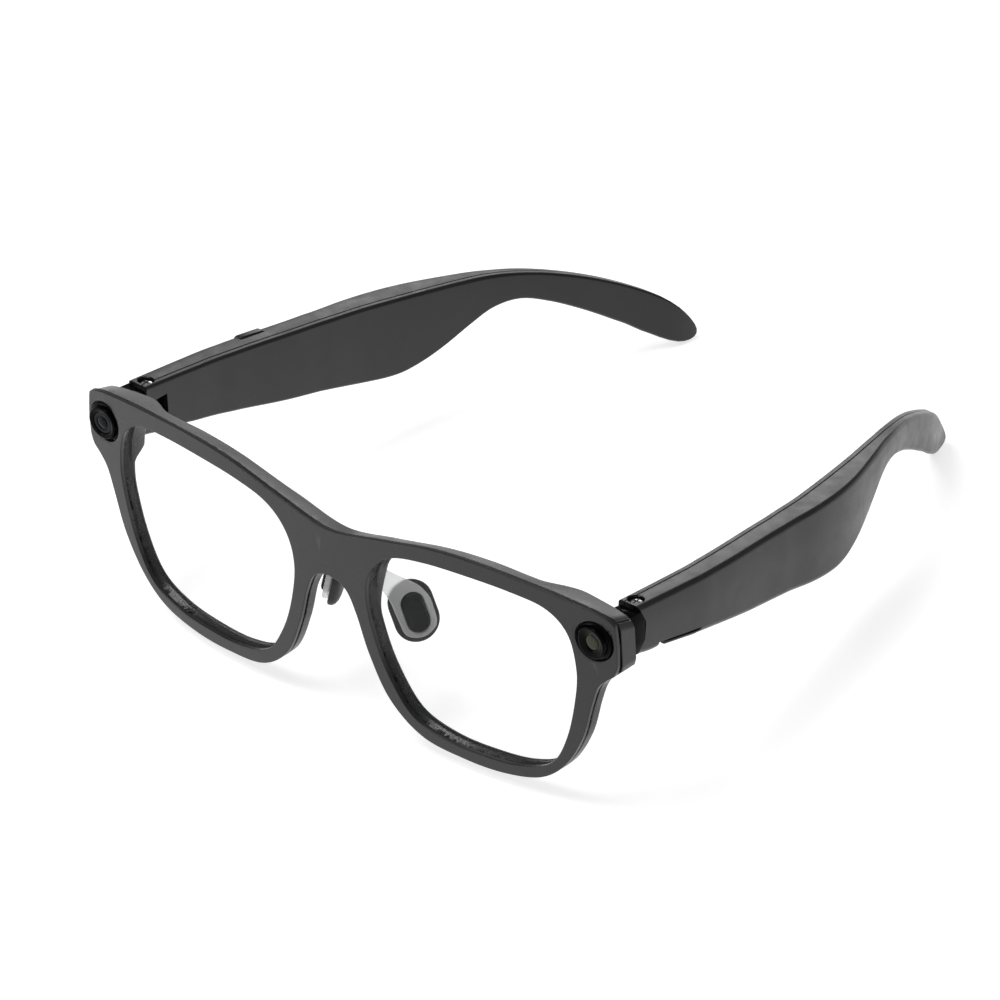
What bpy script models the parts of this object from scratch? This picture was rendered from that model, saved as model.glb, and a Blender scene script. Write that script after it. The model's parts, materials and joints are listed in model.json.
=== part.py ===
"""Smart glasses: a wrapped front with camera and light, and two folding electronic temples.

Lengths are written in millimetres and multiplied by MM when a mesh is made.
The front is drawn in its own frame: +X to the wearer's left, -Y out of the front face,
+Z up, with the origin on the face between the lenses. Each temple is drawn in the frame
of its hinge: +Y along its top line, which falls 7.2 degrees to the rear. The pivots
themselves stand upright in the front's frame.
A side of +1 is the wearer's left, and -1 the wearer's right.
"""
import math

import bmesh
import bpy
from mathutils import Matrix, Vector

MM = 0.001
GAP = 0.3

# Front: overall curve of the face, and depths behind it.
WRAP = 1.205 / 1000
BOW_UP = 0.894 / 1000
PLATE_DEPTH = 1.2
HOUSING_START = PLATE_DEPTH + GAP
LENS_MARGIN = 0.6
LENS_FRONT = 1.8
LENS_DEPTH = 1.2
LENS_SHELF = LENS_FRONT + LENS_DEPTH + GAP
RIM_DEPTH = 4.0
BRIDGE_DEPTH = 6.5
BROW_DEPTH = 5.8
OUTER_DEPTH = 4.9
END_REAR = 12.3
TOP_SLOPE = 0.40
END_SLOPE = 0.30
EDGE = 0.35
SAMPLE = 2.9

# Upper half outline of the front from the bridge's top to its nose arch (x, z).
BROW = [(0, 13.1), (14, 15.7), (28, 18.5), (41, 19.25), (56, 18.5), (67, 17.2), (71.7, 16.1)]
END_SIDE = [(72.8, 15.1), (73.2, 10.0), (73.0, 5.0)]
RIM_LINE = [(72.2, 3.1), (68.4, -0.4), (66.3, -5.8), (63.5, -14.6), (58.7, -22.6), (52.3, -27.7),
            (43.0, -29.9), (33.0, -30.1), (22.3, -28.6), (14.4, -22.6), (9.7, -13.3),
            (6.9, -4.6), (4.3, 0.4), (0, 1.95)]
LENS_LINE = [(62.7, -4.0), (63.1, 3.0), (61.3, 10.1), (56.3, 14.15), (48.0, 15.25), (37.0, 15.3),
             (26.0, 14.6), (17.2, 12.6), (11.9, 7.9), (10.0, 0.8), (11.6, -8.4), (14.9, -16.8),
             (20.2, -24.1), (28.5, -26.9), (38.0, -27.3), (48.0, -26.3), (55.6, -22.8),
             (60.0, -14.8)]

# Camera (wearer's right) and light (wearer's left).
OPTIC_X = 67.8
OPTIC_Z = 10.2
OPTIC_FACE = 5.6
OPTIC_HOLE = 4.5
DRUM_RADIUS = 3.6
FLANGE_RADIUS = 4.2
WINDOW_HOLE = 2.5
OPTIC_BOARD = 8.8
DRUM_TOP = OPTIC_FACE - 0.95
ROUND_STEPS = 28

# End piece: the bay behind the optics, and the side cap.
BAY_X = (65.0, 71.5)
BAY_Z = (5.8, 13.0)
BAY_REAR = 11.0
CAP_X = 71.9

# Hinges, in the front's frame.
HINGE = Vector((67.9, 18.4, 13.9))
TEMPLE_TILT = math.radians(-7.2)
STAND_TILT = math.radians(-2.77)
SLOT_TOP = -3.7
SLOT_FLOOR = -8.1
FOOT_BACK = -7.7
FOOT_FRONT = -8.5
SHELL_V = [(0.0, 0.0), (-3.8, 2.0), (-7.8, 2.0), (-11.0, 0.0)]
V_FROM = 1.5

# Temple lines, against the distance along the temple from the hinge axis.
TEMPLE_START = -2.4
TEMPLE_END = 133.0
TIP_START = 123.0
ARCH_START = 84.0
ARCH_RADIUS = 72.0
CENTRE_AT_HINGE = 0.5
UNDERSIDE = [(-2.4, -11.1), (2, -11.7), (6, -11.8), (12, -12.6), (23, -13.8), (36, -15.4),
             (48, -16.4), (60, -17.7), (67, -17.8), (72.5, -16.4), (78, -14.0), (83.5, -10.8),
             (89, -7.9), (95, -7.0), (101.5, -8.8), (108, -11.7), (114.5, -15.2), (121, -19.2),
             (133, -26.0)]
INWARD_BOW = [(-8, 0), (10, 0.4), (22, 1.1), (46, 3.8), (58, 5.3), (70, 7.8), (82, 11.5),
              (94, 16.1), (107, 21.8), (120, 27.3), (133, 33.6)]
THICKNESS = [(-3, 5.9), (22, 6.4), (46, 6.6), (64, 7.4), (72, 7.1), (80, 6.0), (90, 4.6),
             (100, 3.9), (128, 3.7), (133, 2.6)]
SPLIT = 1.5
WALL = 1.4
BAY_START = 9.0
BAY_END = 80.0

# Power slider: its slot along the underside of the left temple, and how far it travels.
SLIDER_START = 4.0
SLIDER_SLOT = 13.4
SLIDER_TRAVEL = 2.3
SLIDER_OUT = 3.0

# Nose pads, in the front's frame: centre, face direction and long direction of the left one.
PAD_CENTRE = Vector((11.7, 12.3, -8.3))
PAD_NORMAL = Vector((-0.82, 0.50, -0.27)).normalized()
PAD_LONG = Vector((0.336, 0.044, -0.941))


def material(name, colour, roughness, metallic=0.0, alpha=1.0):
    made = bpy.data.materials.new(name)
    made.use_nodes = True
    shader = made.node_tree.nodes["Principled BSDF"]
    shader.inputs["Base Color"].default_value = (*colour, 1.0)
    shader.inputs["Roughness"].default_value = roughness
    shader.inputs["Metallic"].default_value = metallic
    shader.inputs["Alpha"].default_value = alpha
    return made


def smoothstep(low, high, value):
    t = min(1.0, max(0.0, (value - low) / (high - low)))
    return t * t * (3 - 2 * t)


def mix(a, b, t):
    return a + (b - a) * t


def spline_point(p0, p1, p2, p3, t):
    """Catmull-Rom point between p1 and p2."""
    return tuple(0.5 * (2 * b + (c - a) * t + (2 * a - 5 * b + 4 * c - d) * t * t
                        + (3 * b - a - 3 * c + d) * t ** 3)
                 for a, b, c, d in zip(p0, p1, p2, p3))


def smooth_open(points, steps=8):
    ends = [points[0], *points, points[-1]]
    curve = []
    for i in range(len(points) - 1):
        curve += [spline_point(*ends[i:i + 4], k / steps) for k in range(steps)]
    return curve + [tuple(points[-1])]


def smooth_closed(points, steps=8):
    count = len(points)
    curve = []
    for i in range(count):
        four = [points[(i + k - 1) % count] for k in range(4)]
        curve += [spline_point(*four, k / steps) for k in range(steps)]
    return curve


def resample(points, spacing, closed=False):
    """Points at even distances along a polyline; its ends stay where they are."""
    line = list(points) + ([points[0]] if closed else [])
    lengths = [math.dist(a, b) for a, b in zip(line, line[1:])]
    total = sum(lengths)
    count = max(2, round(total / spacing))
    result = []
    segment = 0
    start = 0.0
    for k in range(count if closed else count + 1):
        goal = total * k / count
        while segment < len(lengths) - 1 and start + lengths[segment] < goal:
            start += lengths[segment]
            segment += 1
        t = (goal - start) / lengths[segment]
        result.append(tuple(mix(a, b, t) for a, b in zip(line[segment], line[segment + 1])))
    return result


def along(points, value):
    """Height of a smooth line, given as (position, height) points, at one position."""
    ends = [points[0], *points, points[-1]]
    for i in range(len(points) - 1):
        low, high = points[i][0], points[i + 1][0]
        if value <= high or i == len(points) - 2:
            t = min(1.0, max(0.0, (value - low) / (high - low)))
            return spline_point(*[(p[1],) for p in ends[i:i + 4]], t)[0]
    return points[-1][1]


def grow(loop, distance):
    """A closed loop, counter-clockwise, moved outwards by a distance."""
    count = len(loop)
    moved = []
    for i, point in enumerate(loop):
        before = Vector(loop[i - 1])
        after = Vector(loop[(i + 1) % count])
        edge = (after - before).normalized()
        moved.append((point[0] + edge.y * distance, point[1] - edge.x * distance))
    return moved


def circle(centre_x, centre_z, radius, steps=ROUND_STEPS):
    turn = 2 * math.pi / steps
    return [(centre_x + radius * math.cos(turn * k), centre_z + radius * math.sin(turn * k))
            for k in range(steps)]


def oval(half_long, half_wide, steps=10):
    """A slot-shaped loop with its long side along the first axis, counter-clockwise."""
    straight = half_long - half_wide
    loop = []
    for k in range(steps + 1):
        angle = -math.pi / 2 + math.pi * k / steps
        loop.append((straight + half_wide * math.cos(angle), half_wide * math.sin(angle)))
    for k in range(steps + 1):
        angle = math.pi / 2 + math.pi * k / steps
        loop.append((-straight + half_wide * math.cos(angle), half_wide * math.sin(angle)))
    return loop


def finish(name, mesh_data, parent, look, smooth=True):
    """Makes the object from a bmesh in millimetres and puts it under its parent frame."""
    bmesh.ops.recalc_face_normals(mesh_data, faces=mesh_data.faces)
    bmesh.ops.scale(mesh_data, vec=(MM, MM, MM), verts=mesh_data.verts)
    mesh = bpy.data.meshes.new(name)
    mesh_data.to_mesh(mesh)
    mesh_data.free()
    if smooth:
        mesh.shade_smooth()
        mesh.set_sharp_from_angle(angle=math.radians(35))
    thing = bpy.data.objects.new(name, mesh)
    bpy.context.scene.collection.objects.link(thing)
    thing.parent = parent
    if look:
        mesh.materials.append(look)
    return thing


def stacked(name, walls, parent, look):
    """A solid between two filled faces: the first wall is its outside, the others are holes.

    A wall is (place, rings) with rings of (loop, level); place(u, v, level) gives a ring's
    points at its level.
    """
    shape = bmesh.new()
    first_edges = []
    last_edges = []
    placed = []
    for place, levels in walls:
        rings = []
        for loop, level in levels:
            ring = [shape.verts.new((u, 0, v)) for u, v in loop]
            placed += [(vert, place, level) for vert in ring]
            rings.append(ring)
        count = len(rings[0])
        for near, far in zip(rings, rings[1:]):
            for i in range(count):
                k = (i + 1) % count
                shape.faces.new((near[i], near[k], far[k], far[i]))
        first_edges += [shape.edges.get((rings[0][i - 1], rings[0][i])) for i in range(count)]
        last_edges += [shape.edges.get((rings[-1][i - 1], rings[-1][i])) for i in range(count)]
    for edges in (first_edges, last_edges):
        bmesh.ops.triangle_fill(shape, use_beauty=True, use_dissolve=False, edges=edges,
                                normal=(0, -1, 0))
    for vert, place, level in placed:
        vert.co = place(vert.co.x, vert.co.z, level)
    return finish(name, shape, parent, look)


def lofted(name, rings, parent, look):
    """A solid through rings of points, closed at both ends."""
    shape = bmesh.new()
    made = [[shape.verts.new(p) for p in ring] for ring in rings]
    count = len(made[0])
    for near, far in zip(made, made[1:]):
        for i in range(count):
            k = (i + 1) % count
            shape.faces.new((near[i], near[k], far[k], far[i]))
    shape.faces.new(made[0])
    shape.faces.new(made[-1])
    bmesh.ops.triangulate(shape, faces=shape.faces, quad_method="SHORT_EDGE")
    return finish(name, shape, parent, look)


def turned(name, profile, centre, parent, look, axis="Y", steps=ROUND_STEPS):
    """A ring or disc turned about an axis through centre; profile is (radius, distance)."""
    shape = bmesh.new()
    rings = []
    for k in range(steps):
        angle = 2 * math.pi * k / steps
        ring = []
        for radius, distance in profile:
            across, up = radius * math.cos(angle), radius * math.sin(angle)
            offset = (across, distance, up) if axis == "Y" else (across, up, distance)
            ring.append(shape.verts.new(Vector(centre) + Vector(offset)))
        rings.append(ring)
    count = len(profile)
    for k in range(steps):
        near, far = rings[k - 1], rings[k]
        for i in range(count):
            shape.faces.new((near[i - 1], near[i], far[i], far[i - 1]))
    bmesh.ops.remove_doubles(shape, verts=shape.verts, dist=0.0005)
    bmesh.ops.dissolve_degenerate(shape, edges=shape.edges, dist=0.0005)
    loose = [edge for edge in shape.edges if not edge.link_faces]
    bmesh.ops.delete(shape, geom=loose, context="EDGES")
    return finish(name, shape, parent, look)


def block(name, low, high, parent, look, bevel=0.0):
    shape = bmesh.new()
    bmesh.ops.create_cube(shape, size=1.0)
    size = Vector(high) - Vector(low)
    middle = (Vector(high) + Vector(low)) / 2
    bmesh.ops.scale(shape, vec=size, verts=shape.verts)
    bmesh.ops.translate(shape, vec=middle, verts=shape.verts)
    if bevel:
        bmesh.ops.bevel(shape, geom=shape.edges, offset=bevel, segments=1, affect="EDGES")
    return finish(name, shape, parent, look, smooth=False)


def cut(target, cutter):
    cutter.hide_render = True
    cutter.display_type = "WIRE"
    step = target.modifiers.new(cutter.name, "BOOLEAN")
    step.operation = "DIFFERENCE"
    step.solver = "EXACT"
    step.object = cutter


def frame(name, location, tilt, parent=None):
    empty = bpy.data.objects.new(name, None)
    empty.location = Vector(location) * MM
    empty.rotation_euler = (tilt, 0, 0)
    empty.parent = parent
    bpy.context.scene.collection.objects.link(empty)
    return empty


# ---------------------------------------------------------------- front

def face_y(x, z):
    """The front face's distance back from the foremost point between the lenses."""
    return WRAP * x * x + BOW_UP * z * z


def on_face(x, z, level):
    return Vector((x, face_y(x, z) + level, z))


def rear_y(x, z):
    """Where the housing's rear surface lies: thin round the rims, deep at the end pieces."""
    across = abs(x)
    brow = mix(BRIDGE_DEPTH, BROW_DEPTH, smoothstep(8, 26, across))
    brow = mix(brow, OUTER_DEPTH, smoothstep(40, 54, across))
    upper = smoothstep(-5, 5, z)
    rim = face_y(x, z) + mix(RIM_DEPTH, brow, upper)
    return mix(rim, END_REAR, smoothstep(51, 61, across) * smoothstep(0.5, 3.5, z))


def top_slope(x):
    """How steeply the front's top slopes down towards the rear."""
    return mix(TOP_SLOPE, END_SLOPE, smoothstep(44, 58, abs(x)))


def in_housing(x, z, level):
    """Levels up to the lens shelf follow the face; the rear follows rear_y and slopes down."""
    near = face_y(x, z)
    if level <= LENS_SHELF:
        depth = near + level
    else:
        depth = mix(near + LENS_SHELF, rear_y(x, z), (level - LENS_SHELF) / (RIM_DEPTH - LENS_SHELF))
    return depth


def housing_outside(x, z, level):
    depth = in_housing(x, z, level)
    drop = top_slope(x) * (depth - face_y(x, z)) * smoothstep(5, 13, z)
    return Vector((x, depth, z - drop))


def housing_opening(x, z, level):
    depth = in_housing(x, z, level)
    past_shelf = max(0.0, depth - face_y(x, z) - LENS_SHELF)
    return Vector((x, depth, z - top_slope(x) * past_shelf * smoothstep(5, 13, z)))


def front_outline():
    half = smooth_open(BROW) + smooth_open(END_SIDE) + smooth_open(RIM_LINE)
    half = resample(half, SAMPLE)
    mirrored = [(-x, z) for x, z in reversed(half[1:-1])]
    loop = half + mirrored
    return list(reversed(loop))


def lens_outline(side):
    loop = resample(smooth_closed(LENS_LINE), SAMPLE, closed=True)
    loop = [(side * x, z) for x, z in loop]
    return loop if side > 0 else list(reversed(loop))


def optic_hole(side, start, end, radius=OPTIC_HOLE):
    loop = circle(side * OPTIC_X, OPTIC_Z, radius)
    return on_face, [(loop, start), (loop, end)]


def build_front_plate(stand, looks):
    outer = front_outline()
    walls = [(on_face, [(grow(outer, -EDGE), 0), (outer, EDGE), (outer, PLATE_DEPTH)])]
    for side in (1, -1):
        lens = lens_outline(side)
        walls.append((on_face, [(grow(lens, EDGE), 0), (lens, EDGE), (lens, PLATE_DEPTH)]))
        walls.append(optic_hole(side, 0, PLATE_DEPTH))
    stacked("front_plate", walls, stand, looks["satin"])


def brow_z(x):
    """Height of the front's top line at one place."""
    return along(BROW, min(abs(x), BROW[-1][0]))


def flex_run(width, depth):
    """Rings of a flat run under the brow, from one bay to the other."""
    rings = []
    steps = 44
    middle = LENS_FRONT + 0.3
    for k in range(steps + 1):
        x = mix(-66.2, 66.2, k / steps)
        z = brow_z(x) - 1.6
        y = face_y(x, z) + middle
        rings.append([(x, y - depth / 2, z - width / 2), (x, y - depth / 2, z + width / 2),
                      (x, y + depth / 2, z + width / 2), (x, y + depth / 2, z - width / 2)])
    return rings


def build_housing(stand, looks):
    outer = front_outline()
    walls = [(housing_outside, [(outer, HOUSING_START), (outer, LENS_SHELF),
                                (grow(outer, -0.6), RIM_DEPTH)])]
    for side in (1, -1):
        lens = lens_outline(side)
        pocket = grow(lens, LENS_MARGIN + GAP)
        walls.append((housing_opening, [(pocket, HOUSING_START), (pocket, LENS_SHELF),
                                        (lens, LENS_SHELF), (grow(lens, 0.2), RIM_DEPTH)]))
    housing = stacked("rear_housing", walls, stand, looks["satin"])
    for side, word in ((1, "left"), (-1, "right")):
        end = [side * CAP_X, side * (CAP_X + 4)]
        cut(housing, block("cut_end_" + word, (min(end), 3.0, 2.0), (max(end), 14.0, 18.0),
                           stand, None))
        bay = [side * BAY_X[0], side * BAY_X[1]]
        cut(housing, block("cut_bay_" + word, (min(bay), 2.0, BAY_Z[0]),
                           (max(bay), BAY_REAR, BAY_Z[1]), stand, None))
        cut(housing, turned("cut_optic_" + word, [(0, -4.0), (OPTIC_HOLE, -4.0), (OPTIC_HOLE, 2.8),
                                                  (0, 2.8)],
                            (side * OPTIC_X, OPTIC_FACE, OPTIC_Z), stand, None))
        slot = [side * 66.1, side * 69.7]
        cut(housing, block("cut_leaf_" + word, (min(slot), 9.0, 5.8), (max(slot), 14.0, 10.2),
                           stand, None))
        cut(housing, root_block("cut_root_" + word, side, 0.3, stand, None))
    cut(housing, lofted("cut_flex", flex_run(1.4, 1.6), stand, None))
    lofted("front_flex", flex_run(0.8, 0.3)[1:-1], stand, looks["copper"])


def build_lens(side, word, stand, looks):
    loop = grow(lens_outline(side), LENS_MARGIN)
    walls = [(on_face, [(loop, LENS_FRONT), (loop, LENS_FRONT + LENS_DEPTH)])]
    stacked("lens_" + word, walls, stand, looks["lens"])


def build_end_cap(side, word, stand, looks):
    """The trim at the outer side of the end piece, chamfered along its top."""
    inner = CAP_X + GAP
    section = [(inner, 3.3), (72.6, 3.6), (73.1, 5.0), (73.2, 13.7), (72.5, 15.1), (inner, 15.1)]
    start = face_y(73.2, 10) + HOUSING_START
    rings = []
    for y, drop in ((start, 0.3), (END_REAR, END_SLOPE * (END_REAR - start) + 0.4)):
        rings.append([(side * x, y, z - (drop if z > 10 else 0)) for x, z in section])
    lofted("end_cap_" + word, rings, stand, looks["satin"])


def build_optics(stand, looks):
    for side, name in ((1, "light"), (-1, "camera")):
        centre = (side * OPTIC_X, 0, OPTIC_Z)
        flange, rear = OPTIC_FACE + 0.4, OPTIC_FACE + 2.4
        profile = [(WINDOW_HOLE, DRUM_TOP), (DRUM_RADIUS - 0.3, DRUM_TOP),
                   (DRUM_RADIUS, DRUM_TOP + 0.3), (DRUM_RADIUS, flange), (FLANGE_RADIUS, flange),
                   (FLANGE_RADIUS, rear), (WINDOW_HOLE, rear)]
        turned(name + "_bezel", profile, centre, stand, looks["gloss"])
        radius = WINDOW_HOLE - GAP
        window = [(0, DRUM_TOP + 0.3), (radius, DRUM_TOP + 0.3), (radius, DRUM_TOP + 1.1),
                  (0, DRUM_TOP + 1.1)]
        turned(name + "_window", window, centre, stand, looks[name])
        low = (side * OPTIC_X - 2.7, OPTIC_BOARD, 6.3)
        high = (side * OPTIC_X + 2.7, OPTIC_BOARD + 0.6, 12.5)
        block(name + "_board", low, high, stand, looks["board"])
        tip = DRUM_TOP + 1.5
        if side < 0:
            barrel = [(0.8, tip), (1.7, tip), (2.1, tip + 0.5), (2.1, OPTIC_BOARD - GAP),
                      (0, OPTIC_BOARD - GAP), (0, tip + 1.2), (0.8, tip + 1.2)]
            turned("camera_module", barrel, centre, stand, looks["gloss"])
        else:
            lamp = [(0, tip), (1.1, tip), (1.1, tip + 1.0), (1.9, tip + 1.0),
                    (1.9, OPTIC_BOARD - GAP), (0, OPTIC_BOARD - GAP)]
            turned("light_lamp", lamp, centre, stand, looks["lamp"])


# ---------------------------------------------------------------- nose pads

def pad_place(side, along_long, across, out):
    """A point in a nose pad's frame: down its length, towards the front, and to the nose."""
    forward = PAD_NORMAL.cross(PAD_LONG)
    point = PAD_CENTRE + PAD_LONG * along_long + forward * across + PAD_NORMAL * out
    return Vector((side * point.x, point.y, point.z))


def root_block(name, side, margin, stand, look):
    """The arm's root that plugs into the housing, or its socket when it has a margin."""
    rings = []
    for out in (-0.6 - margin, 0.6 + margin):
        corners = [(-10.2, 3.1 - margin), (-14.8, 3.9 - margin), (-14.8, 9.2 + margin),
                   (-10.0, 8.0 + margin)]
        rings.append([pad_place(side, u, v, out) for u, v in corners])
    return lofted(name, rings, stand, look)


def build_nose_pad(side, word, stand, looks):
    arm_line = [(5.5, 0), (4.0, 3.3), (0, 3.9), (-4.5, 4.2), (-9.0, 5.6), (-13.2, 8.0),
                (-13.9, 6.8), (-13.5, 4.8), (-10.5, 2.3), (-7.6, -0.3), (-5.2, -2.5),
                (-2.5, -3.7), (0, -3.9), (4.0, -3.3)]
    outline = resample(smooth_closed(arm_line), 1.3, closed=True)
    place = lambda u, v, level: pad_place(side, u, v, level)
    outline = list(reversed(outline)) if area(outline) < 0 else outline
    ring_hole = oval(4.6, 2.6)
    stacked("nose_arm_" + word, [(place, [(outline, -0.6), (outline, 0.6)]),
                                 (place, [(ring_hole, -0.6), (ring_hole, 0.6)])],
            stand, looks["clear"])
    core = oval(4.3, 2.3)
    stacked("nose_core_" + word, [(place, [(grow(core, -0.5), -1.3), (core, -0.8), (core, 0.6)])],
            stand, looks["gloss"])
    pad = oval(6.5, 4.5)
    stacked("nose_pad_" + word, [(place, [(pad, 0.9), (pad, 1.9), (grow(pad, -1.0), 2.8),
                                          (grow(pad, -2.4), 3.2)])],
            stand, looks["silicone"])


def area(loop):
    return sum(a[0] * b[1] - b[0] * a[1] for a, b in zip(loop, loop[1:] + loop[:1])) / 2


# ---------------------------------------------------------------- temples

def top_line(s):
    past = max(0.0, s - ARCH_START)
    return -past * past / (2 * ARCH_RADIUS)


def bottom_line(s):
    return along(UNDERSIDE, s)


def top_and_bottom(s):
    """The temple's edges, closing in a half round at its tip."""
    top, bottom = top_line(s), bottom_line(s)
    middle = (top + bottom) / 2
    past = max(0.0, s - TIP_START) / (TEMPLE_END - TIP_START)
    half = (top - bottom) / 2 * math.sqrt(max(0.0, 1 - past * past) + 0.004)
    return middle + half, middle - half


def inner_x(s):
    return CENTRE_AT_HINGE - along(INWARD_BOW, s) - along(THICKNESS, s) / 2


def temple_ring(side, s, corners):
    """A ring at one station; corners are (from the inner face, height) pairs."""
    return [(side * (inner_x(s) + across), s, height) for across, height in corners]


def shell_corners(s):
    top, bottom = top_and_bottom(s)
    thick = along(THICKNESS, s)
    tall = top - bottom
    soft = min(1.0, tall / 7.0) * min(1.0, thick / 4.0)
    start = SPLIT + GAP
    return [(start, top - 0.05), (thick - 1.3 * soft, top), (thick - 0.3 * soft, top - 0.9 * soft),
            (thick, top - 0.36 * tall), (thick - 0.3 * soft, bottom + 1.2 * soft),
            (thick - 1.4 * soft, bottom), (start, bottom + 0.05)]


def cover_corners(s):
    top, bottom = top_and_bottom(s)
    soft = min(1.0, (top - bottom) / 7.0)
    return [(0, top - 0.7 * soft), (0.5, top - 0.1), (SPLIT, top - 0.05),
            (SPLIT, bottom + 0.05), (0.5, bottom + 0.1), (0, bottom + 0.7 * soft)]


def stations(start, end, spacing):
    count = max(1, math.ceil((end - start) / spacing))
    return [mix(start, end, k / count) for k in range(count + 1)]


def temple_stations():
    body = stations(TEMPLE_START, TIP_START, 4.2)
    reach = TEMPLE_END - TIP_START
    tip = [TIP_START + reach * math.sin(math.radians(angle)) for angle in (18, 36, 54, 70, 82, 90)]
    return body + tip


def temple_part(name, side, span, corners_at, parent, look, spacing=4.2):
    rings = [temple_ring(side, s, corners_at(s)) for s in stations(*span, spacing)]
    return lofted(name, rings, parent, look)


def inside_corners(from_split, wall, roof, floor):
    """Corners of a box that follows the temple, clear of its walls."""
    def corners(s):
        top, bottom = top_and_bottom(s)
        low, high = SPLIT + from_split, along(THICKNESS, s) - wall
        return [(low, top - roof), (high, top - roof), (high, bottom + floor),
                (low, bottom + floor)]
    return corners


def block_front(height):
    """How far forward the hinge block reaches, a gap behind the end piece's flat rear."""
    ahead = HINGE.y - END_REAR - GAP
    return (-ahead + math.sin(TEMPLE_TILT) * height) / math.cos(TEMPLE_TILT)


def v_depth(height):
    """How far back the shell's V-shaped front edge is at one height."""
    heights = [point[0] for point in SHELL_V]
    for i in range(len(heights) - 1):
        if heights[i + 1] <= height <= heights[i]:
            t = (heights[i] - height) / (heights[i] - heights[i + 1])
            return mix(SHELL_V[i][1], SHELL_V[i + 1][1], t)
    return 0.0


def v_cutter(side, word, hinge):
    """Takes the V out of the shell's outer skin, where the hinge block fills it."""
    outline = [(TEMPLE_START + depth, z) for z, depth in SHELL_V]
    outline = [(TEMPLE_START - 1.0, SHELL_V[0][0])] + outline + [(TEMPLE_START - 1.0, SHELL_V[-1][0])]
    rings = [[(side * x, y, z) for y, z in outline] for x in (V_FROM, 6.0)]
    return lofted("cut_v_" + word, rings, hinge, None)


def build_temple(side, word, hinge, pivot, looks):
    body = temple_stations()
    shell = lofted("temple_shell_" + word, [temple_ring(side, s, shell_corners(s)) for s in body],
                   hinge, looks["satin"])
    cover = lofted("temple_cover_" + word, [temple_ring(side, s, cover_corners(s)) for s in body],
                   hinge, looks["satin"])
    hollow = temple_part("cut_hollow_" + word, side, (BAY_START, BAY_END),
                         inside_corners(-1.0, WALL, 1.5, 1.5), hinge, None)
    cut(shell, hollow)

    # Black block that meets the end piece, with the slot for the hinge leaf.
    back = TEMPLE_START - GAP
    low_x, high_x = -2.1, 3.2
    rings = []
    for z, inset in ((-1.3, 0.5), (-2.0, 0.0), (-3.8, 0.0), (-7.8, 0.0), (-9.6, 0.0), (-10.3, 0.5)):
        front = block_front(z)
        rear = back + v_depth(z)
        rings.append([(side * x, y, z) for x, y in
                      ((low_x + inset, back), (low_x + inset, front + 1.6),
                       (low_x + 1.6, front + inset), (high_x - 0.8, front + inset),
                       (high_x - inset, front + 0.8 + inset), (high_x - inset, rear),
                       (V_FROM + GAP, rear), (V_FROM + GAP, back))])
    hinge_block = lofted("hinge_block_" + word, rings, hinge, looks["gloss"])
    slot_x = [side * -6.0, side * 2.3]
    notch = block("cut_notch_" + word, (min(slot_x), -9.0, SLOT_FLOOR), (max(slot_x), 3.1, SLOT_TOP),
                  pivot, None)
    well = turned("cut_screw_" + word, [(0, -9.6), (1.1, -9.6), (1.1, -2.1), (1.9, -2.1),
                                        (1.9, 2.0), (0, 2.0)], (0, 0, 0), pivot, None, axis="Z")
    for piece in (shell, cover, hinge_block):
        cut(piece, notch)
    for piece in (shell, cover):
        cut(piece, well)
    cut(shell, v_cutter(side, word, hinge))
    turned("hinge_screw_" + word, [(0, -9.2), (0.8, -9.2), (0.8, -1.8), (1.5, -1.8), (1.5, -0.9),
                                   (1.2, -0.6), (0.4, -0.6), (0.4, -1.1), (0, -1.1)],
           (0, 0, 0), pivot, looks["steel"], axis="Z", steps=20)
    build_leaf(side, word, pivot, looks)

    build_inner(side, word, hinge, shell, looks)
    return shell, cover


def build_inner(side, word, hinge, shell, looks):
    """Board, battery and speaker in the temple's bay, and the vent and mesh below the speaker."""
    temple_part("board_" + word, side, (12, 27), inside_corners(0.7, WALL + 1.4, 4.6, 2.6),
                hinge, looks["board"])
    temple_part("battery_" + word, side, (31, 55), inside_corners(0.6, WALL + 0.4, 2.4, 2.4),
                hinge, looks["foil"])
    temple_part("speaker_" + word, side, (57.5, 69), inside_corners(0.6, WALL + 0.4, 4.2, 3.4),
                hinge, looks["dark"])

    def vent(s):
        top, bottom = top_and_bottom(s)
        return [(3.0, bottom + 2.0), (4.9, bottom + 2.0), (4.9, bottom - 1.0), (3.0, bottom - 1.0)]

    def mesh_plate(s):
        top, bottom = top_and_bottom(s)
        return [(3.3, bottom + 0.9), (4.6, bottom + 0.9), (4.6, bottom + 0.35), (3.3, bottom + 0.35)]

    cut(shell, temple_part("cut_vent_" + word, side, (58.0, 66.0), vent, hinge, None))
    temple_part("speaker_mesh_" + word, side, (58.4, 65.6), mesh_plate, hinge, looks["steel"])


def build_leaf(side, word, pivot, looks):
    """The metal leaf held by the end piece: a foot, an arm and the eye round the screw."""
    eye = 2.1
    points = []
    for k in range(21):
        angle = math.radians(-138 + 276 * k / 20 + 90)
        points.append((eye * math.cos(angle), eye * math.sin(angle)))
    half_arm = 1.4
    points += [(-half_arm, FOOT_BACK), (-2.5, FOOT_BACK), (-2.5, FOOT_FRONT), (3.0, FOOT_FRONT),
               (3.0, FOOT_BACK), (half_arm, FOOT_BACK)]
    loop = points if area(points) > 0 else list(reversed(points))
    bore = circle(0, 0, 1.0, 16)
    place = lambda u, v, level: Vector((side * u, v, level))
    top, bottom = SLOT_TOP - 0.35, SLOT_FLOOR + 0.35
    stacked("hinge_leaf_" + word, [(place, [(loop, bottom), (loop, top)]),
                                   (place, [(bore, bottom), (bore, top)])], pivot,
            looks["black_steel"])


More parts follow.
